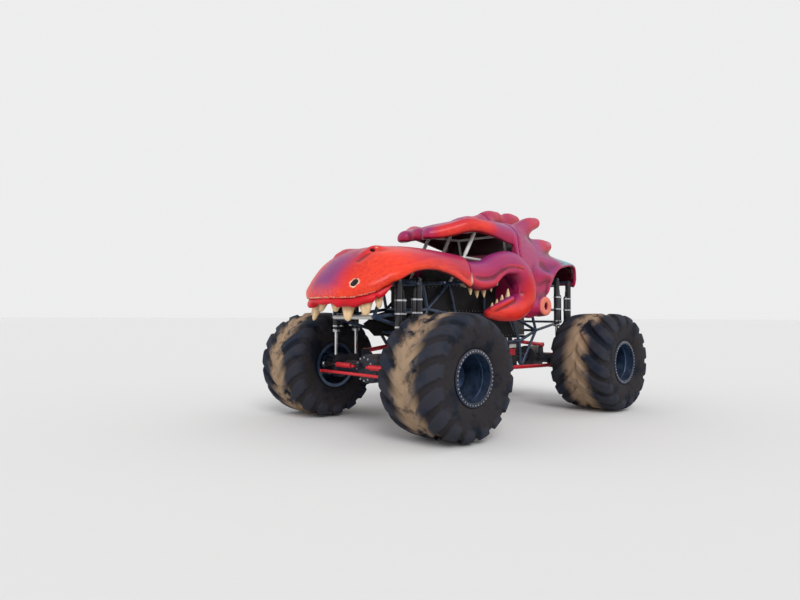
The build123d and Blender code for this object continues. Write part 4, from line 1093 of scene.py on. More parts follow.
def build_gum_and_teeth():
    rows = [row for row in smoothed(SNOUT, 8) if row[0] > GUM_START_X]
    half = [(row[0] + MIDDLE_X, row[1], row[2]) for row in rows]
    line = np.array(half + [(x, -y, z) for x, y, z in reversed(half)])
    steps = np.linalg.norm(np.diff(line[:, :2], axis=0), axis=1)
    reach = np.concatenate([[0], np.cumsum(steps)])
    spots = np.linspace(0, reach[-1], GUM_SECTIONS)
    centre = np.stack([np.interp(spots, reach, line[:, i]) for i in range(3)], 1)
    ahead = np.gradient(centre[:, :2], axis=0)
    ahead /= np.linalg.norm(ahead, axis=1)[:, None]
    outward = np.stack([-ahead[:, 1], ahead[:, 0]], 1)
    outward *= np.where((outward * (centre[:, :2] - [2.0 + MIDDLE_X, 0])).sum(1) < 0, -1, 1)[:, None]
    roots = np.array([(x + MIDDLE_X, y * side) for x, y, _, _, _ in FANGS for side in (1, -1)])
    inner = centre[:, None, :2] - outward[:, None, :] * 0.09
    gaps = np.min(np.linalg.norm(inner - roots[None], axis=2), axis=1)
    cusp = ramp(gaps, 0.03, 0.14)
    points = []
    full = ramp(centre[:, 0], 2.30 + MIDDLE_X, 2.46 + MIDDLE_X)
    full = full * (1 - 0.34 * fade(np.abs(centre[:, 1]), 0.20, 0.33))
    notch = fade(np.abs(centre[:, 0] - MIDDLE_X - 2.54), 0.0, 0.030)
    for place, out, tip, whole, bite in zip(centre, outward, cusp, full, notch):
        for inset, rise, hang in GUM_SECTION:
            low = min(rise, 0) * (1 - 0.45 * bite) - 0.022 * tip * hang
            points.append((place[0] - out[0] * inset, place[1] - out[1] * inset,
                           place[2] + max(rise, 0) + low * whole))
    size = len(GUM_SECTION)
    faces = ring_faces(GUM_SECTIONS, size)
    faces += [tuple(range(size)), tuple(range((GUM_SECTIONS - 1) * size, GUM_SECTIONS * size))]
    gum = rounded(tidied(solid("gum", points, faces), 80))
    finish_piece(gum, plain("gum_gloss_red"), "chassis", "gum_red", "upper_gum")
    fangs = []
    for x, y, tip, radius, inset in FANGS:
        for side in (1, -1):
            outward = Vector((x - FANG_CENTRE_X, side * y, 0)).normalized()
            place = Vector((x + MIDDLE_X, side * y, 0))
            lip_z = np.interp(x, [row[0] for row in SNOUT], [row[2] for row in SNOUT])
            root = place - outward * inset + Vector((0, 0, lip_z - FANG_SINK))
            fangs.append(tooth(f"fang_{len(fangs)}", root, place + Vector((0, 0, tip)), radius,
                               FANG_BLUNT, len(fangs), outward, FANG_DEPTH))
    finish_piece(joined("snout_teeth", fangs), ivory(), "chassis", "ivory", "upper_teeth")


def tooth(name, root, tip, radius, blunt, seed, facing=None, depth=1.0):
    """One worn tooth with a blunt end and a slight bend. One that faces a way is less deep than wide."""
    root, tip = Vector(root), Vector(tip)
    axis = tip - root
    length = axis.length
    axis.normalize()
    across = (axis.cross(Vector(facing)) if facing else axis.orthogonal()).normalized()
    up = axis.cross(across)
    rng = np.random.default_rng(seed)
    wobble = rng.uniform(-1, 1, 8)
    levels, steps = 14, 20
    points = []
    for level in range(levels + 1):
        share = level / levels
        taper = 1 - (1 - blunt) * share**1.15
        width = radius * taper * math.sqrt(max(1 - max(share - 0.86, 0) ** 2 / 0.0205, 0.0))
        bend = 0.05 * length * share**2
        for step in range(steps):
            turn = 2 * math.pi * step / steps
            uneven = 1 + 0.035 * (wobble[0] * math.sin(2 * turn + wobble[1])
                                  + wobble[2] * math.sin(3 * turn + share * 5))
            aside = across * (width * uneven * math.cos(turn) + bend * wobble[3])
            ahead = up * (width * depth * uneven * math.sin(turn) + bend * wobble[4])
            points.append(root + axis * length * share + aside + ahead)
    faces = ring_faces(levels + 1, steps) + [tuple(range(steps))]
    piece = tidied(solid(name, points, faces), 80)
    share = (coordinates(piece) - np.array(root)) @ np.array(axis) / length
    mark(piece, "root", fade(share, 0.30, 0.62))
    return piece


def eyelet_axes(side):
    """The axes of the drills that cut the long worn hole in one side of the nose."""
    first, last = (np.array(hole) for hole in EYELET_HOLES)
    axes = []
    for share in np.linspace(0, 1, 5):
        x, z = first * (1 - share) + last * share
        axes.append(placed([(x + 0.10, 0.66, z + 0.04), (x - 0.08, 0.40, z - 0.03)], side))
    return axes


def build_jaws():
    look = bpy.context.scene.truck_body
    low, high = (-0.80 + MIDDLE_X, 0.45, 1.42), (1.05 + MIDDLE_X, 1.12, 2.72)
    clay = Clay(low, high, look.voxel * 0.85)
    form = clay.chain(placed(JAW))
    form = clay.grow(form, UPPER_LIP, 0.03)
    form = clay.grow(form, LOWER_LIP, 0.04)
    form = clay.carve(form, [(*spot, 0.020, 0.014) for spot in LIP_GROOVE], 0.022, margin=0.12)
    for x, z, wide in JAW_DENTS:
        dent = [(x, 1.0, z, wide, wide), (x + 0.03, 1.0, z - 0.01, wide, wide)]
        form = clay.carve(form, dent, 0.03, steps=1, margin=0.1)
    form = -melt(-form, (SEAM_X - SEAM_GAP / 2 + MIDDLE_X) - clay.x, 0.012)
    piece = clay.skin("jaw_left_skin", form)
    points = coordinates(piece)
    sunk = hollows(piece)
    crease = placed([(x, y, z + 0.012) for x, y, z in LIP_GROOVE])
    back = smoothed(JAW, 4)
    outer = np.stack([back[:, 0] + MIDDLE_X, back[:, 1] + back[:, 3] * 0.9, back[:, 2]], 1)
    bulge = fade(line_distance(points, outer[JAW_BEND_ROW:]), 0.05, 0.24)
    roll = fade(line_distance(points, placed(UPPER_LIP)[:, :3] + [0, 0.08, 0]), 0.02, 0.13)
    low = fade(points[:, 2], 1.75, 2.15)
    # Orange airbrush, with painted sunlit highlights, on the crease, the outer bend and the upper lip
    glow = np.maximum.reduce([fade(line_distance(points, crease), 0.015, 0.05) * 0.6,
                              bulge * (0.10 + 0.32 * low), roll * 0.10])
    mark(piece, "airbrush_highlight", glow)
    # Painted shade under overhangs, in the throat and in hollows
    under = ramp(-normals(piece)[:, 2], 0.25, 0.9) * ramp(points[:, 2], 1.85, 1.95) * 0.7
    throat = fade(points[:, 1], 0.66, 0.80) * ramp(points[:, 2], 1.70, 1.80) * fade(points[:, 2], 2.2, 2.35)
    mark(piece, "hollow", np.maximum.reduce([under, throat * 0.9, np.clip(sunk * 1.2, 0, 1) * 0.7]))
    seam = fade(np.abs(points[:, 0] - SEAM_X - MIDDLE_X), 0.006, 0.02)
    seam *= 1 - ramp(points[:, 2], 2.2, 2.4) * 0.6
    mark(piece, "edge", fade(line_distance(points, crease), 0.006, 0.024) * 0.62)
    mark(piece, "bare", seam * fade(points[:, 2], 2.12, 2.25) * 0.9)
    # Painted violet sky reflection and shade on the upper faces and inside the mouth
    inward = ramp(0.55 - points[:, 1] + 0.5 * (points[:, 2] - 1.7), -0.35, 0.0)
    above = upper_faces(piece, 0.0, 0.8)
    mark(piece, "sky_violet", np.maximum(above * 0.95, inward * 0.8) * (1 - bulge * 0.5))
    right = flipped(piece, "jaw_right_skin")
    for jaw, node in ((piece, "jaw_left"), (right, "jaw_right")):
        finish_piece(jaw, body_paint(), "chassis", "body_red", node)
    teeth = []
    for x, root, tip, radius in JAW_TEETH:
        for side in (1, -1):
            lift = JAW_TOOTH_SINK if root > tip else -JAW_TOOTH_SINK
            teeth.append(tooth(f"tooth_{len(teeth)}", (x + MIDDLE_X, side * JAW_TEETH_Y, root + lift),
                               (x + MIDDLE_X, side * (JAW_TEETH_Y + 0.01), tip), radius,
                               JAW_TOOTH_BLUNT, JAW_SEED + len(teeth)))
    finish_piece(joined("jaw_teeth_set", teeth), ivory(), "chassis", "ivory", "jaw_teeth")


def build_roof_and_rear():
    look = bpy.context.scene.truck_body
    low, high = (-2.36 + MIDDLE_X, -1.02, 1.48), (1.42 + MIDDLE_X, 1.02, 3.52)
    clay = Clay(low, high, look.voxel)
    rear_rows, roof_rows = smoothed(REAR, 6), smoothed(ROOF, 6)
    rear_rows[-1, 0] += 0.10
    roof_rows[0, 0] -= 0.10
    rear = clay.loft([arch_ring(row, 0.15) for row in rear_rows])
    roof = clay.loft([roof_ring(row, 0.12) for row in roof_rows])
    hull = melt(rear, roof, 0.08)
    form = hull
    for rows in HUMPS:
        form = clay.grow(form, rows, look.fillet)
    for side in (1, -1):
        for rows in HORNS:
            form = clay.grow(form, rows, look.fillet, side)
        form = clay.grow(form, BROW, 0.06, side)
        dish = clay.chain(placed(DISH, side), margin=0.35)
        form, hull = cut(form, dish, 0.09), cut(hull, dish, 0.09)
        form = clay.grow(form, FIN, 0.10, side)
        form = clay.grow(form, FLARE, 0.05, side)
    form = clay.grow(form, BEAK, 0.05)
    rows = np.vstack([rear_rows[:, [0, 2]], roof_rows[roof_rows[:, 0] > ROOF_JOINT_X][:, [0, 2]]])
    lip = np.interp(clay.x, rows[:, 0] + MIDDLE_X, rows[:, 1])
    shell = cut(form, hull + look.wall, 0.02)
    shell = -melt(-shell, clay.z - lip, 0.02)
    for side in (1, -1):
        stump = clay.grow(clay.chain(placed(CHEEK, side)), NECK, 0.08, side)
        drum = [(STUMP_X, y, STUMP_Z, 0.163, 0.163) for y in (0.72, 1.02)]
        shell = melt(shell, clay.grow(stump, drum, 0.05, side, steps=1), 0.05)
        face = side * clay.y - STUMP_Y
        near = np.maximum(np.abs(clay.x - STUMP_X - MIDDLE_X) - 0.25, np.abs(clay.z - STUMP_Z) - 0.25)
        shell = -melt(-shell, np.maximum(-face, near), 0.012)
        socket = [(STUMP_X, y, STUMP_Z, 0.050, 0.062) for y in (1.05, 0.80)]
        shell = clay.carve(shell, socket, 0.008, side, steps=1, margin=0.1)
    joint = ROOF_JOINT_X + MIDDLE_X
    rear_field = np.maximum(shell, clay.x - (joint - SEAM_GAP / 2))
    roof_field = np.maximum(shell, (joint + SEAM_GAP / 2) - clay.x)
    for name, field, node in (("rear_skin", rear_field, "rear_shell"),
                              ("roof_skin", roof_field, "roof_shell")):
        piece = clay.skin(name, field)
        points = coordinates(piece)
        sunk = hollows(piece)
        inside = ramp(-clay.sample(hull, points), *(look.wall * share for share in INNER_SKIN))
        inside *= clay.sample(form, points) < -look.wall * 0.4
        tips = nearest(points, [placed(rows[-2:], side) for rows in HORNS + HUMPS for side in (1, -1)])
        brow_line = [(x, y + 0.11, z) for x, y, z, _, _ in BROW[1:5]]
        brow_reach = nearest(points, [placed(brow_line, side) for side in (1, -1)])
        stump = spot_distance(points, (STUMP_X, STUMP_Y, STUMP_Z))
        disc = fade(stump, 0.170, 0.185) * ramp(np.abs(points[:, 1]), STUMP_Y - 0.02, STUMP_Y - 0.008)
        inside *= ramp(stump, 0.22, 0.25)
        ahead = ramp(points[:, 0], 0.1 + MIDDLE_X, 0.5 + MIDDLE_X)
        # Orange airbrush, with painted highlights, on the brows and the tips of the horns
        glow = np.maximum.reduce([fade(brow_reach, 0.03, 0.16) * (0.25 + 0.35 * ahead),
                                  fade(tips, 0.05, 0.22) * 0.10])
        mark(piece, "airbrush_highlight", glow * (1 - inside))
        # Painted shade on the shell's inside, under overhangs and in hollows
        below = ramp(-normals(piece)[:, 2], 0.25, 0.9) * 0.75
        mark(piece, "hollow", np.maximum.reduce([inside, below, np.clip(sunk * 1.2, 0, 1) * 0.6]))
        arch_reach = nearest(points, [placed(FLARE), placed(FLARE, -1)])
        mark(piece, "edge", fade(arch_reach, 0.02, 0.06) * 0.55)
        mark(piece, "flesh", disc)
        # Painted violet sky reflection and shade, stronger on the upper faces, weaker near the tips and the brows
        crown = upper_faces(piece, -0.3, 0.7) * 0.45 + 0.5
        crown *= 1 - fade(tips, 0.10, 0.30) * 0.55
        mark(piece, "sky_violet", crown * (1 - fade(brow_reach, 0.1, 0.3) * 0.8))
        # Teal painted sky reflection on the upper faces of the rear arches
        fender = fade(points[:, 0], MIDDLE_X - 1.75, MIDDLE_X - 1.50) * upper_faces(piece, -0.15, 0.35)
        mark(piece, "teal_sheen", fender * ramp(np.abs(points[:, 1]), 0.50, 0.70) * (1 - inside))
        finish_piece(piece, body_paint(), "chassis", "body_red", node)


def tyre_profile(count):
    """Half section of the carcass: across, radius, and how much tread each point carries."""
    fine = smoothed(CARCASS, 12)
    steps = np.concatenate([[0], np.cumsum(np.linalg.norm(np.diff(fine[:, :2], axis=0), axis=1))])
    spots = np.linspace(0, steps[-1], count)
    return np.stack([np.interp(spots, steps, fine[:, i]) for i in range(3)], 1), spots


def tyre_mesh(name, phase):
    """A tyre about its centre, with curved tread bars and a stepped shoulder."""
    look = bpy.context.scene.truck_wheels
    around, half_count = 448, 52
    profile, spots = tyre_profile(half_count)
    profile = np.vstack([profile[::-1], profile[1:] * [-1, 1, 1]])
    arc = np.concatenate([spots[::-1], spots[1:]])
    side = np.sign(profile[:, 0])
    pitch = 2 * math.pi / look.lugs
    turns = np.linspace(0, 2 * math.pi, around, endpoint=False)
    share = np.clip(arc / LUG_REACH, 0, 1.35)
    wave = np.sin(np.clip(share, 0, 1) * math.pi)
    lead = np.where(share < 1, 0.5 - share, -0.5) * LUG_SWEEP - 0.10 * wave * 0.5
    centre = side * pitch * phase + lead
    offset = turns[:, None] - centre[None, :]
    nearest = (offset + pitch / 2) % pitch - pitch / 2
    slope = LUG_SWEEP / LUG_REACH * profile[:, 1]
    slant = np.where(share < 1, 1 / np.sqrt(1 + slope**2), 1.0)
    distance = np.abs(nearest) * profile[None, :, 1] * slant[None, :]
    half_width = 0.050 + 0.026 * np.clip(share, 0, 1)
    bars = fade(distance, half_width[None, :] - 0.010, half_width[None, :] + 0.012)
    inner = ramp(arc, 0.004, 0.035)
    outer = fade(arc, 0.545, 0.60)
    bars = bars * (inner * outer)[None, :]
    rng = np.random.default_rng(7)
    wear = 1 - 0.10 * rng.random(look.lugs)
    lug_index = np.floor((offset + pitch / 2) / pitch).astype(int) % look.lugs
    bars = bars * wear[lug_index]
    height = look.lug_height * bars * np.clip(profile[:, 2][None, :] * 1.05, 0, 1)
    scallop = 0.006 * np.sin(turns[:, None] * look.lugs * 2) * ((arc > 0.60) & (arc < 0.64))[None, :]
    radius = profile[:, 1][None, :]
    tangent = np.gradient(profile[:, :2], axis=0)
    tangent /= np.linalg.norm(tangent, axis=1)[:, None]
    out = np.stack([-tangent[:, 1], tangent[:, 0]], 1)
    out *= np.sign(out[:, 1] * profile[:, 1] + out[:, 0] * profile[:, 0])[:, None]
    across = profile[None, :, 0] + out[None, :, 0] * (height + scallop)
    radius = np.minimum(radius + out[None, :, 1] * (height + scallop), TYRE_RADIUS)
    across = np.clip(across, -TYRE_HALF, TYRE_HALF)
    forward, upward = radius * np.sin(turns)[:, None], radius * np.cos(turns)[:, None]
    points = np.stack([forward, across, upward], 2).reshape(-1, 3)
    size = profile.shape[0]
    row, column = np.meshgrid(np.arange(around), np.arange(size - 1), indexing="ij")
    near, far = row * size + column, (row + 1) % around * size + column
    faces = np.stack([near, far, far + 1, near + 1], 2).reshape(-1, 4)
    near, far = near[:, 0], far[:, 0]
    bead = np.stack([near, far, far + size - 1, near + size - 1], 1)
    piece = solid(name, points, np.vstack([faces, bead[:, ::-1]]))
    # The dust band in the tread's middle, which also stands in for a painted sunlit strip
    middle = fade(np.abs(profile[:, 0]), 0.06, 0.29) * profile[:, 2]
    mark(piece, "tread", np.broadcast_to(middle[None, :], (around, size)).reshape(-1))
    mark(piece, "lug", bars.reshape(-1))
    return remade(piece)


def build_tyres():
    first = tyre_mesh("tyre_form", 0.25)
    for end, side, corner in CORNERS:
        hub = Vector(JOINTS[f"wheel_{corner}_spin"]["pos_m"])
        mesh = first.data.copy()
        mesh.transform(Matrix.Scale(side, 4, (0, 1, 0)) @ Matrix.Scale(end, 4, (1, 0, 0)))
        if side * end < 0:
            mesh.flip_normals()
        mesh.transform(Matrix.Translation(hub))
        tread = linked(f"tread_{corner}", mesh)
        finish_piece(tread, tyre_rubber(), f"wheel_{corner}", "tyre_rubber", f"tyre_{corner}")
    bpy.data.objects.remove(first)


def copies_tree(name, inputs, make):
    """Geometry nodes that set copies of a piece on points, make them real and give them their material."""
    tree, given, result = group(name, [*inputs, ("Material", "NodeSocketMaterial", None)],
                                [("Geometry", "NodeSocketGeometry")], "GeometryNodeTree")
    points, piece = make(tree, given)
    copies = add(tree, "GeometryNodeInstanceOnPoints", None, Points=points, Instance=piece)
    real = add(tree, "GeometryNodeRealizeInstances", None, Geometry=copies.outputs[0])
    finish = add(tree, "GeometryNodeSetMaterial", None, Geometry=real.outputs[0], Material=given["Material"])
    feed(tree, result["Geometry"], finish.outputs[0])
    return tree


def bolts_on_circle(tree, given):
    """Points round a circle, and a hexagonal bolt on a wider, thinner washer."""
    circle = add(tree, "GeometryNodeMeshCircle", None, Vertices=given["Count"], Radius=given["Circle Radius"])
    head = add(tree, "GeometryNodeMeshCylinder", None, Vertices=6, Radius=given["Bolt Radius"],
               Depth=given["Bolt Height"])
    wide = maths(tree, "MULTIPLY", given["Bolt Radius"], 1.45)
    thin = maths(tree, "MULTIPLY", given["Bolt Height"], 0.35)
    washer = add(tree, "GeometryNodeMeshCylinder", None, Vertices=14, Radius=wide, Depth=thin)
    both = add(tree, "GeometryNodeJoinGeometry")
    for part in (head, washer):
        feed(tree, both.inputs[0], part.outputs["Mesh"])
    return circle.outputs["Mesh"], both.outputs[0]


@once("node_groups", "Bolt circle")
def bolt_tree(name):
    return copies_tree(name, [("Count", "NodeSocketInt", 12), ("Circle Radius", FLOAT, 0.3),
                              ("Bolt Radius", FLOAT, 0.01), ("Bolt Height", FLOAT, 0.01)], bolts_on_circle)


def rivets_on_line(tree, given):
    """Points along a line, by a count that follows its length, and a round rivet."""
    line = add(tree, "GeometryNodeCurvePrimitiveLine", None, Start=given["Start"], End=given["End"])
    spots = add(tree, "GeometryNodeCurveToPoints", {"mode": "LENGTH"}, Curve=line.outputs[0],
                Length=given["Spacing"])
    head = add(tree, "GeometryNodeMeshUVSphere", None, Segments=8, Rings=5, Radius=given["Radius"])
    return spots.outputs[0], head.outputs["Mesh"]


@once("node_groups", "Rivet line")
def rivet_tree(name):
    return copies_tree(name, [("Start", VECTOR, None), ("End", VECTOR, None), ("Spacing", FLOAT, None),
                              ("Radius", FLOAT, None)], rivets_on_line)


def grown(name, tree, values):
    """A plain mesh object made by a node tree with the given inputs."""
    holder = solid(name, [(0, 0, 0)], [])
    modifier = holder.modifiers.new("nodes", "NODES")
    modifier.node_group = tree
    for item in tree.interface.items_tree:
        if item.item_type == "SOCKET" and item.in_out == "INPUT":
            modifier[item.identifier] = values[item.name]
    mesh = evaluated(holder)
    bpy.data.objects.remove(holder)
    return linked(name, mesh)


def bolt_circle(name, centre, axis, count, circle, radius, height):
    """Bolts round a circle that faces along an axis."""
    piece = grown(name, bolt_tree(), {"Count": count, "Circle Radius": circle, "Bolt Radius": radius,
                                      "Bolt Height": height, "Material": plain("bolt_zinc")})
    turn = Vector(axis).to_track_quat("Z", "Y").to_matrix().to_4x4()
    piece.data.transform(Matrix.Translation(Vector(centre)) @ turn)
    return piece


def build_rims():
    """Bead rings, hub caps, barrel beads and bolts on the four wheels."""
    look = bpy.context.scene.truck_wheels
    turned = (("bead_ring", [(RIM_HALF + along, radius) for along, radius in BEAD_RING], 96,
               "beadlock_black"),
              ("hub_cap", HUB_CAP, 40, "axle_satin"), ("barrel_bead", BARREL_BEAD, 96, "rim_dark_blue"))
    # Name, place along the axle, count, circle, bolt radius, bolt height
    bolted = (("ring_bolts", RIM_HALF + 0.015, look.ring_bolts, 0.332, 0.0062, 0.010),
              ("hub_bolts", -0.055 + 0.012, 12, 0.215, 0.014, 0.03))
    for _, side, corner in CORNERS:
        hub = Vector(JOINTS[f"wheel_{corner}_spin"]["pos_m"])
        axis = Vector((0, side, 0))
        for name, profile, steps, finish in turned:
            piece = lathe(f"{name}_{corner}", profile, hub, axis, steps)
            finish_piece(piece, plain(finish), f"wheel_{corner}", "rim_blue")
        for name, along, *sizes in bolted:
            bolts = bolt_circle(f"{name}_{corner}", hub + axis * along, axis, *sizes)
            finish_piece(bolts, plain("bolt_zinc"), f"wheel_{corner}", "rim_blue")


def plate(name, outline, thickness, at, axis="y"):
    """A flat plate at one place along an axis. Its closed outline is in the other two axes."""
    order = {"x": (2, 0, 1), "y": (0, 2, 1), "z": (0, 1, 2)}[axis]
    size = len(outline)
    rows = [(a, b, at + shift) for shift in (-thickness / 2, thickness / 2) for a, b in outline]
    points = [tuple(row[order[i]] for i in range(3)) for row in rows]
    faces = [tuple(range(size))[::-1], tuple(range(size, 2 * size))]
    faces += [(i, (i + 1) % size, size + (i + 1) % size, size + i) for i in range(size)]
    return tidied(solid(name, points, faces))


def along_x(rows):
    """An outline's points moved into the truck's frame along X."""
    return [(x + MIDDLE_X, other) for x, other in rows]


def shock_places():
    """For each shock: which way its gas can stands, the lower end of its body, and its top's height."""
    for end, hub in ((1, FRONT_WHEEL), (-1, REAR_WHEEL)):
        for offset in (-SHOCK_OFFSET, SHOCK_OFFSET):
            top = SHOCK_TOPS[(end, offset > 0)]
            split = SHOCK_LOW + (top - SHOCK_LOW) * SHOCK_SHARE
            for side in (1, -1):
                yield -1 if offset > 0 else 1, Vector((hub.x + offset, side * SHOCK_Y, split)), top


def build_shocks():
    """Clamps, gas cans, caps and hoses on the shocks."""
    clamps, cans, hoses, caps = [], [], [], []
    for inward, place, top in shock_places():
        can = place + Vector((inward * CAN_OFFSET, 0, 0))
        length = top - place.z
        for share in CLAMP_SHARES:
            for held, (inner, outer, steps) in ((place, BODY_CLAMP), (can, CAN_CLAMP)):
                band = [(-CLAMP_HALF, inner), (-CLAMP_HALF, outer), (CLAMP_HALF, outer), (CLAMP_HALF, inner),
                        (-CLAMP_HALF, inner)]
                clamps.append(lathe("clamp", band, (held.x, held.y, place.z + share * length), UP, steps))
        body = [(0.0, 0.0), (0.0, 0.026), (0.008, CAN_RADIUS), (0.56 * length, CAN_RADIUS),
                (0.58 * length, 0.026), (0.60 * length, 0.012), (0.60 * length, 0.0)]
        cans.append(lathe("can", body, (can.x, can.y, place.z + 0.08 * length), UP, 24))
        caps.append(lathe("cap", SHOCK_CAP, place, UP, 28))
        can_top = place.z + 0.68 * length
        route = [(can.x, can_top), (can.x, can_top + 0.06), (can.x - inward * 0.02, can_top + 0.11),
                 (place.x + inward * 0.05, can_top + 0.10), (place.x + inward * 0.04, can_top + 0.06)]
        hoses.append(pipe("hose", [(x, place.y, z) for x, z in route], HOSE_RADIUS))
    for name, pieces, finish, slot in (("shock_clamps", clamps, "alloy_brushed", "tank_alloy"),
                                       ("shock_cans", cans, "shock_gloss_black", "shock_black"),
                                       ("shock_caps", caps, "alloy_brushed", "tank_alloy"),
                                       ("shock_hoses", hoses, "hose_black", "shock_black")):
        finish_piece(joined(name, pieces), plain(finish), "chassis", slot)


def build_cockpit():
    """Black sheets at the driver's sides and ahead of the driver, with rows of rivets. The sheets across also
    stand in for the shade deep in the body.
    """
    sheets = [plate(name, along_x(outline), SHEET_THICKNESS, side * TUB_Y)
              for side in (1, -1) for name, outline in (("side", TUB_SIDE), ("nose", TUB_NOSE))]
    for name, x, low, high in TUB_WALLS:
        outline = [(-TUB_Y, low), (TUB_Y, low), (TUB_Y, high), (-TUB_Y, high)]
        sheets.append(plate(name, outline, SHEET_THICKNESS, x + MIDDLE_X, "x"))
    finish_piece(joined("cockpit_sheets", sheets), plain("panel_matt_black"), "chassis", "panel_black")
    rivets = []
    for side in (1, -1):
        for row in TUB_RIVETS:
            start, end = (Vector((x + MIDDLE_X, side * (TUB_Y + RIVET_OUT), z)) for x, z in row)
            rivets.append(grown("rivets", rivet_tree(), {
                "Start": start, "End": end, "Spacing": RIVET_SPACING, "Radius": RIVET_RADIUS,
                "Material": plain("bolt_zinc")}))
    finish_piece(joined("cockpit_rivets", rivets), plain("bolt_zinc"), "chassis", "tank_alloy")


def build_sleeves():
    """Pale pads round the windscreen bars, and a bar across the nose."""
    sleeves = []
    for y in (-CAGE_BARS_Y, 0.0, CAGE_BARS_Y):
        ends = np.array([(foot + MIDDLE_X, y, z) for foot, z in (CAGE_FOOT, CAGE_HEAD)])
        inner = [ends[0] * (1 - share) + ends[1] * share for share in (0.10, 0.36, 0.64, 0.90)]
        sleeves.append(pipe("sleeve", inner, 0.031 if y else 0.027, 16))
    bar = [(NOSE_BAR[0] + MIDDLE_X, y, NOSE_BAR[1]) for y in (-0.43, -0.15, 0.15, 0.43)]
    sleeves.append(pipe("nose_bar", bar, 0.030, 16))
    finish_piece(joined("cage_sleeves", sleeves), plain("cage_pale"), "chassis", "cage_white")


def pad(name, width, length, thickness, channels, turned, crown=0.75):
    """A stuffed pad: crowned both ways, pulled in between its corners, with sewn channels across it."""
    count = 25
    spots = np.linspace(-1, 1, count)
    u, v = np.meshgrid(spots, spots, indexing="ij")
    rim = (1 - np.abs(u) ** 6) * (1 - np.abs(v) ** 6)
    swell = np.sqrt(np.clip(rim, 0, 1)) * (crown + (1 - crown) * (1 - u**2) * (1 - v**2))
    for place in channels:
        swell = swell * (1 - 0.30 * np.exp(-((v - place) / 0.045) ** 2))
    pull = 1 - 0.045 * (1 - v**2)
    tuck = 1 - 0.045 * (1 - u**2)
    top = np.stack([u * width / 2 * pull, v * length / 2 * tuck, swell * thickness], 2).reshape(-1, 3)
    low = np.stack([u * width / 2 * pull, v * length / 2 * tuck, -0.25 * swell * thickness], 2).reshape(-1, 3)
    faces = []
    for i in range(count - 1):
        for j in range(count - 1):
            corners = (i * count + j, (i + 1) * count + j, (i + 1) * count + j + 1, i * count + j + 1)
            faces.append(corners)
            faces.append(tuple(corner + count * count for corner in reversed(corners)))
    piece = solid(name, np.vstack([top, low]), faces)
    piece.data.transform(turned)
    return rounded(tidied(piece, 80))


def build_seat():
    """A racing seat: a moulded bucket, padded cushions with sewn channels, and a harness of flat straps."""
    low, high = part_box("seat")
    half = (high[1] - low[1]) / 2
    floor, front = low[2], high[0]
    # The backrest's own frame leans back from its hinge, with z up along it
    hinge = Matrix.Translation((front - 0.46, 0, floor + 0.26 - 0.06))
    back = hinge @ Matrix.Rotation(math.radians(-12), 4, "Y")
    tub = [(front - 0.46, floor + 0.002), (front - 0.03, floor + 0.002), (front - 0.006, floor + 0.17),
           (front - 0.46, floor + 0.13)]
    cheek = [(front - 0.47, floor + 0.01), (front - 0.06, floor + 0.01), (front - 0.02, floor + 0.20),
             (front - 0.20, floor + 0.25), (front - 0.47, floor + 0.255)]
    bucket = [plate("tub", tub, 2 * half - 0.10, 0.0)]
    bucket += [plate("cheek", cheek, 0.022, side * (half - 0.014)) for side in (1, -1)]
    right_edge = [(half - 0.03, 0.0), (half - 0.02, 0.48), (half - 0.10, 0.62), (half - 0.13, 0.77)]
    spine_outline = [(-right_edge[0][0], 0.0), *right_edge] + [(-y, z) for y, z in right_edge[:0:-1]]
    spine = plate("spine", spine_outline, 0.028, -0.092, "x")
    spine.data.transform(back)
    bucket.append(spine)
    finish_piece(joined("seat_bucket", bucket), plain("panel_matt_black"), "chassis", "seat_black", "seat")
    lying = Matrix.Translation((front - 0.235, 0, floor + 0.165)) @ Matrix.Rotation(math.radians(90), 4, "Z")
    cushions = [pad("seat_cushion", 2 * half - 0.09, 0.42, 0.075, (-0.5, 0.0, 0.5), lying)]
    # Pads on the backrest: name, width, length, thickness, channels, place
    for name, width, length, thickness, channels, place in (
            ("back_pad", 2 * half - 0.20, 0.50, 0.070, (-0.6, -0.2, 0.2, 0.6), (-0.075, 0, 0.31)),
            ("head_pad", 0.22, 0.15, 0.050, (), (-0.075, 0, 0.67)),
            ("bolster_left", 0.085, 0.46, 0.085, (), (-0.062, half - 0.062, 0.29)),
            ("bolster_right", 0.085, 0.46, 0.085, (), (-0.062, 0.062 - half, 0.29))):
        turned = back @ Matrix.Translation(place) @ PAD_UPRIGHT
        cushions.append(pad(f"seat_{name}", width, length, thickness, channels, turned))
    for piece in cushions:
        finish_piece(piece, plain("seat_vinyl"), "chassis", "seat_black", "seat")
    straps = []
    for side in (1, -1):
        for route, wide in HARNESS:
            line = smoothed([(x, side * y, z) for x, y, z in route], 6)
            across = Vector(wide).normalized() * STRAP_HALF
            points = [p for place in line for p in (Vector(place) - across, Vector(place) + across)]
            faces = [(2 * i, 2 * i + 1, 2 * i + 3, 2 * i + 2) for i in range(len(line) - 1)]
            strap = solid("strap", points, faces)
            strap.data.transform(back)
            wall = strap.modifiers.new("wall", "SOLIDIFY")
            wall.thickness = STRAP_THICKNESS
            mesh = evaluated(strap)
            strap.modifiers.clear()
            strap.data = mesh
            straps.append(strap)
    finish_piece(joined("harness", straps), plain("harness_webbing"), "chassis", "seat_black")


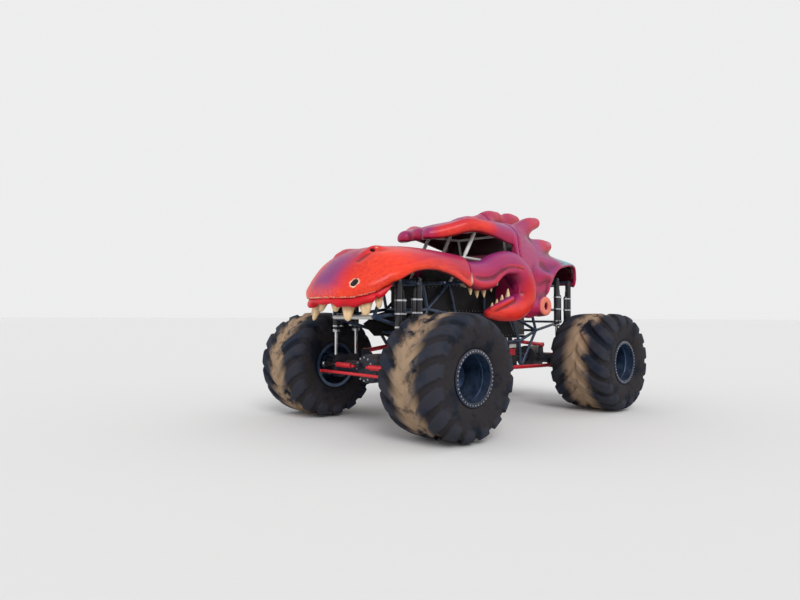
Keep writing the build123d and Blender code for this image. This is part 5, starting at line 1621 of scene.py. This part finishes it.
def build_chassis_trim():
    """Blank placards on the side panels, and bolts round the covers of both axles."""
    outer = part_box("side_panels")[1][1]
    placards = {"white": [], "red": []}
    for x, z, wide, tall, tone in PLACARDS:
        outline = along_x([(x - wide / 2, z - tall / 2), (x + wide / 2, z - tall / 2),
                           (x + wide / 2, z + tall / 2), (x - wide / 2, z + tall / 2)])
        for side in (1, -1):
            placards[tone].append(plate("placard", outline, 0.002, side * (outer + 0.0008)))
    for tone, pieces in placards.items():
        finish_piece(joined(f"placards_{tone}", pieces), plain(f"placard_{tone}"), "chassis", "panel_black")
    bolts = [bolt_circle("cover_bolts", (hub.x + end * 0.212, 0.0, hub.z), (end, 0, 0), 12, 0.165, 0.010,
                         0.016)
             for end, hub in ((1, FRONT_WHEEL), (-1, REAR_WHEEL))]
    finish_piece(joined("cover_bolts", bolts), plain("bolt_zinc"), "chassis", "axle_black")


def paint_nodes():
    """Finishes for the frame's own nodes."""
    finishes = {slot: plain(name) for slot, name in SLOT_FINISHES.items()}
    finishes.update(ivory=ivory(), tyre_rubber=tyre_rubber())
    for part in frame["record"]["subparts"]:
        node = frame["nodes"][part["node"]]
        node.data.materials.clear()
        node.data.materials.append(finishes[part["material_slot"]])


class TRUCK_OT_stage(bpy.types.Operator):
    """Makes the floor, the light and the camera"""
    bl_idname = "truck.stage"
    bl_label = "Stage"

    def execute(self, context):
        make_stage()
        return {"FINISHED"}


class TRUCK_OT_nodes(bpy.types.Operator):
    """Gives the frame's own pieces their finishes"""
    bl_idname = "truck.nodes"
    bl_label = "Frame finishes"

    def execute(self, context):
        paint_nodes()
        return {"FINISHED"}


class TRUCK_OT_snout(bpy.types.Operator):
    """Sculpts the snout and hood"""
    bl_idname = "truck.snout"
    bl_label = "Snout"

    def execute(self, context):
        build_snout()
        return {"FINISHED"}


class TRUCK_OT_gum(bpy.types.Operator):
    """Makes the gum and the snout's teeth"""
    bl_idname = "truck.gum"
    bl_label = "Gum and teeth"

    def execute(self, context):
        build_gum_and_teeth()
        return {"FINISHED"}


class TRUCK_OT_jaws(bpy.types.Operator):
    """Sculpts both jaws and their teeth"""
    bl_idname = "truck.jaws"
    bl_label = "Jaws"

    def execute(self, context):
        build_jaws()
        return {"FINISHED"}


class TRUCK_OT_roof(bpy.types.Operator):
    """Sculpts the roof, the crest and the rear shell"""
    bl_idname = "truck.roof"
    bl_label = "Roof and rear"

    def execute(self, context):
        build_roof_and_rear()
        return {"FINISHED"}


class TRUCK_OT_tyres(bpy.types.Operator):
    """Makes the four lugged tyres"""
    bl_idname = "truck.tyres"
    bl_label = "Tyres"

    def execute(self, context):
        build_tyres()
        return {"FINISHED"}


class TRUCK_OT_rims(bpy.types.Operator):
    """Adds bead rings, bolts and hubs to the wheels"""
    bl_idname = "truck.rims"
    bl_label = "Rims"

    def execute(self, context):
        build_rims()
        return {"FINISHED"}


class TRUCK_OT_shocks(bpy.types.Operator):
    """Dresses the shocks with clamps, gas cans and hoses"""
    bl_idname = "truck.shocks"
    bl_label = "Shocks"

    def execute(self, context):
        build_shocks()
        return {"FINISHED"}


class TRUCK_OT_cockpit(bpy.types.Operator):
    """Makes the sheet metal round the driver"""
    bl_idname = "truck.cockpit"
    bl_label = "Cockpit"

    def execute(self, context):
        build_cockpit()
        return {"FINISHED"}


class TRUCK_OT_sleeves(bpy.types.Operator):
    """Wraps the windscreen bars and the nose bar"""
    bl_idname = "truck.sleeves"
    bl_label = "Sleeves"

    def execute(self, context):
        build_sleeves()
        return {"FINISHED"}


class TRUCK_OT_seat(bpy.types.Operator):
    """Makes the padded racing seat and its harness"""
    bl_idname = "truck.seat"
    bl_label = "Seat"

    def execute(self, context):
        build_seat()
        return {"FINISHED"}


class TRUCK_OT_trim(bpy.types.Operator):
    """Adds placards and cover bolts to the chassis"""
    bl_idname = "truck.trim"
    bl_label = "Chassis trim"

    def execute(self, context):
        build_chassis_trim()
        return {"FINISHED"}


OPERATORS = (TRUCK_OT_stage, TRUCK_OT_nodes, TRUCK_OT_snout, TRUCK_OT_gum, TRUCK_OT_jaws, TRUCK_OT_roof,
             TRUCK_OT_tyres, TRUCK_OT_rims, TRUCK_OT_shocks, TRUCK_OT_cockpit, TRUCK_OT_sleeves,
             TRUCK_OT_seat, TRUCK_OT_trim)
SETTINGS = (("truck_body", TruckBodySettings), ("truck_wheels", TruckWheelSettings),
            ("truck_chassis", TruckChassisSettings), ("truck_stage", TruckStageSettings))


class TRUCK_PT_panel(bpy.types.Panel):
    """Lists the truck's operators and settings"""
    bl_label = "Beast monster truck"
    bl_idname = "TRUCK_PT_panel"
    bl_space_type = "VIEW_3D"
    bl_region_type = "UI"
    bl_category = "Truck"

    def draw(self, context):
        for made in OPERATORS:
            self.layout.operator(made.bl_idname)
        for name, kind in SETTINGS:
            box = self.layout.box()
            for key in kind.__annotations__:
                box.prop(getattr(context.scene, name), key)


def register():
    for name, kind in SETTINGS:
        bpy.utils.register_class(kind)
        setattr(bpy.types.Scene, name, PointerProperty(type=kind))
    for made in (*OPERATORS, TRUCK_PT_panel):
        bpy.utils.register_class(made)


def unregister():
    for made in (*OPERATORS, TRUCK_PT_panel):
        bpy.utils.unregister_class(made)
    for name, kind in SETTINGS:
        delattr(bpy.types.Scene, name)
        bpy.utils.unregister_class(kind)


def main():
    register()
    for made in OPERATORS:
        section, name = made.bl_idname.split(".")
        getattr(getattr(bpy.ops, section), name)()


if __name__ == "__main__":
    main()
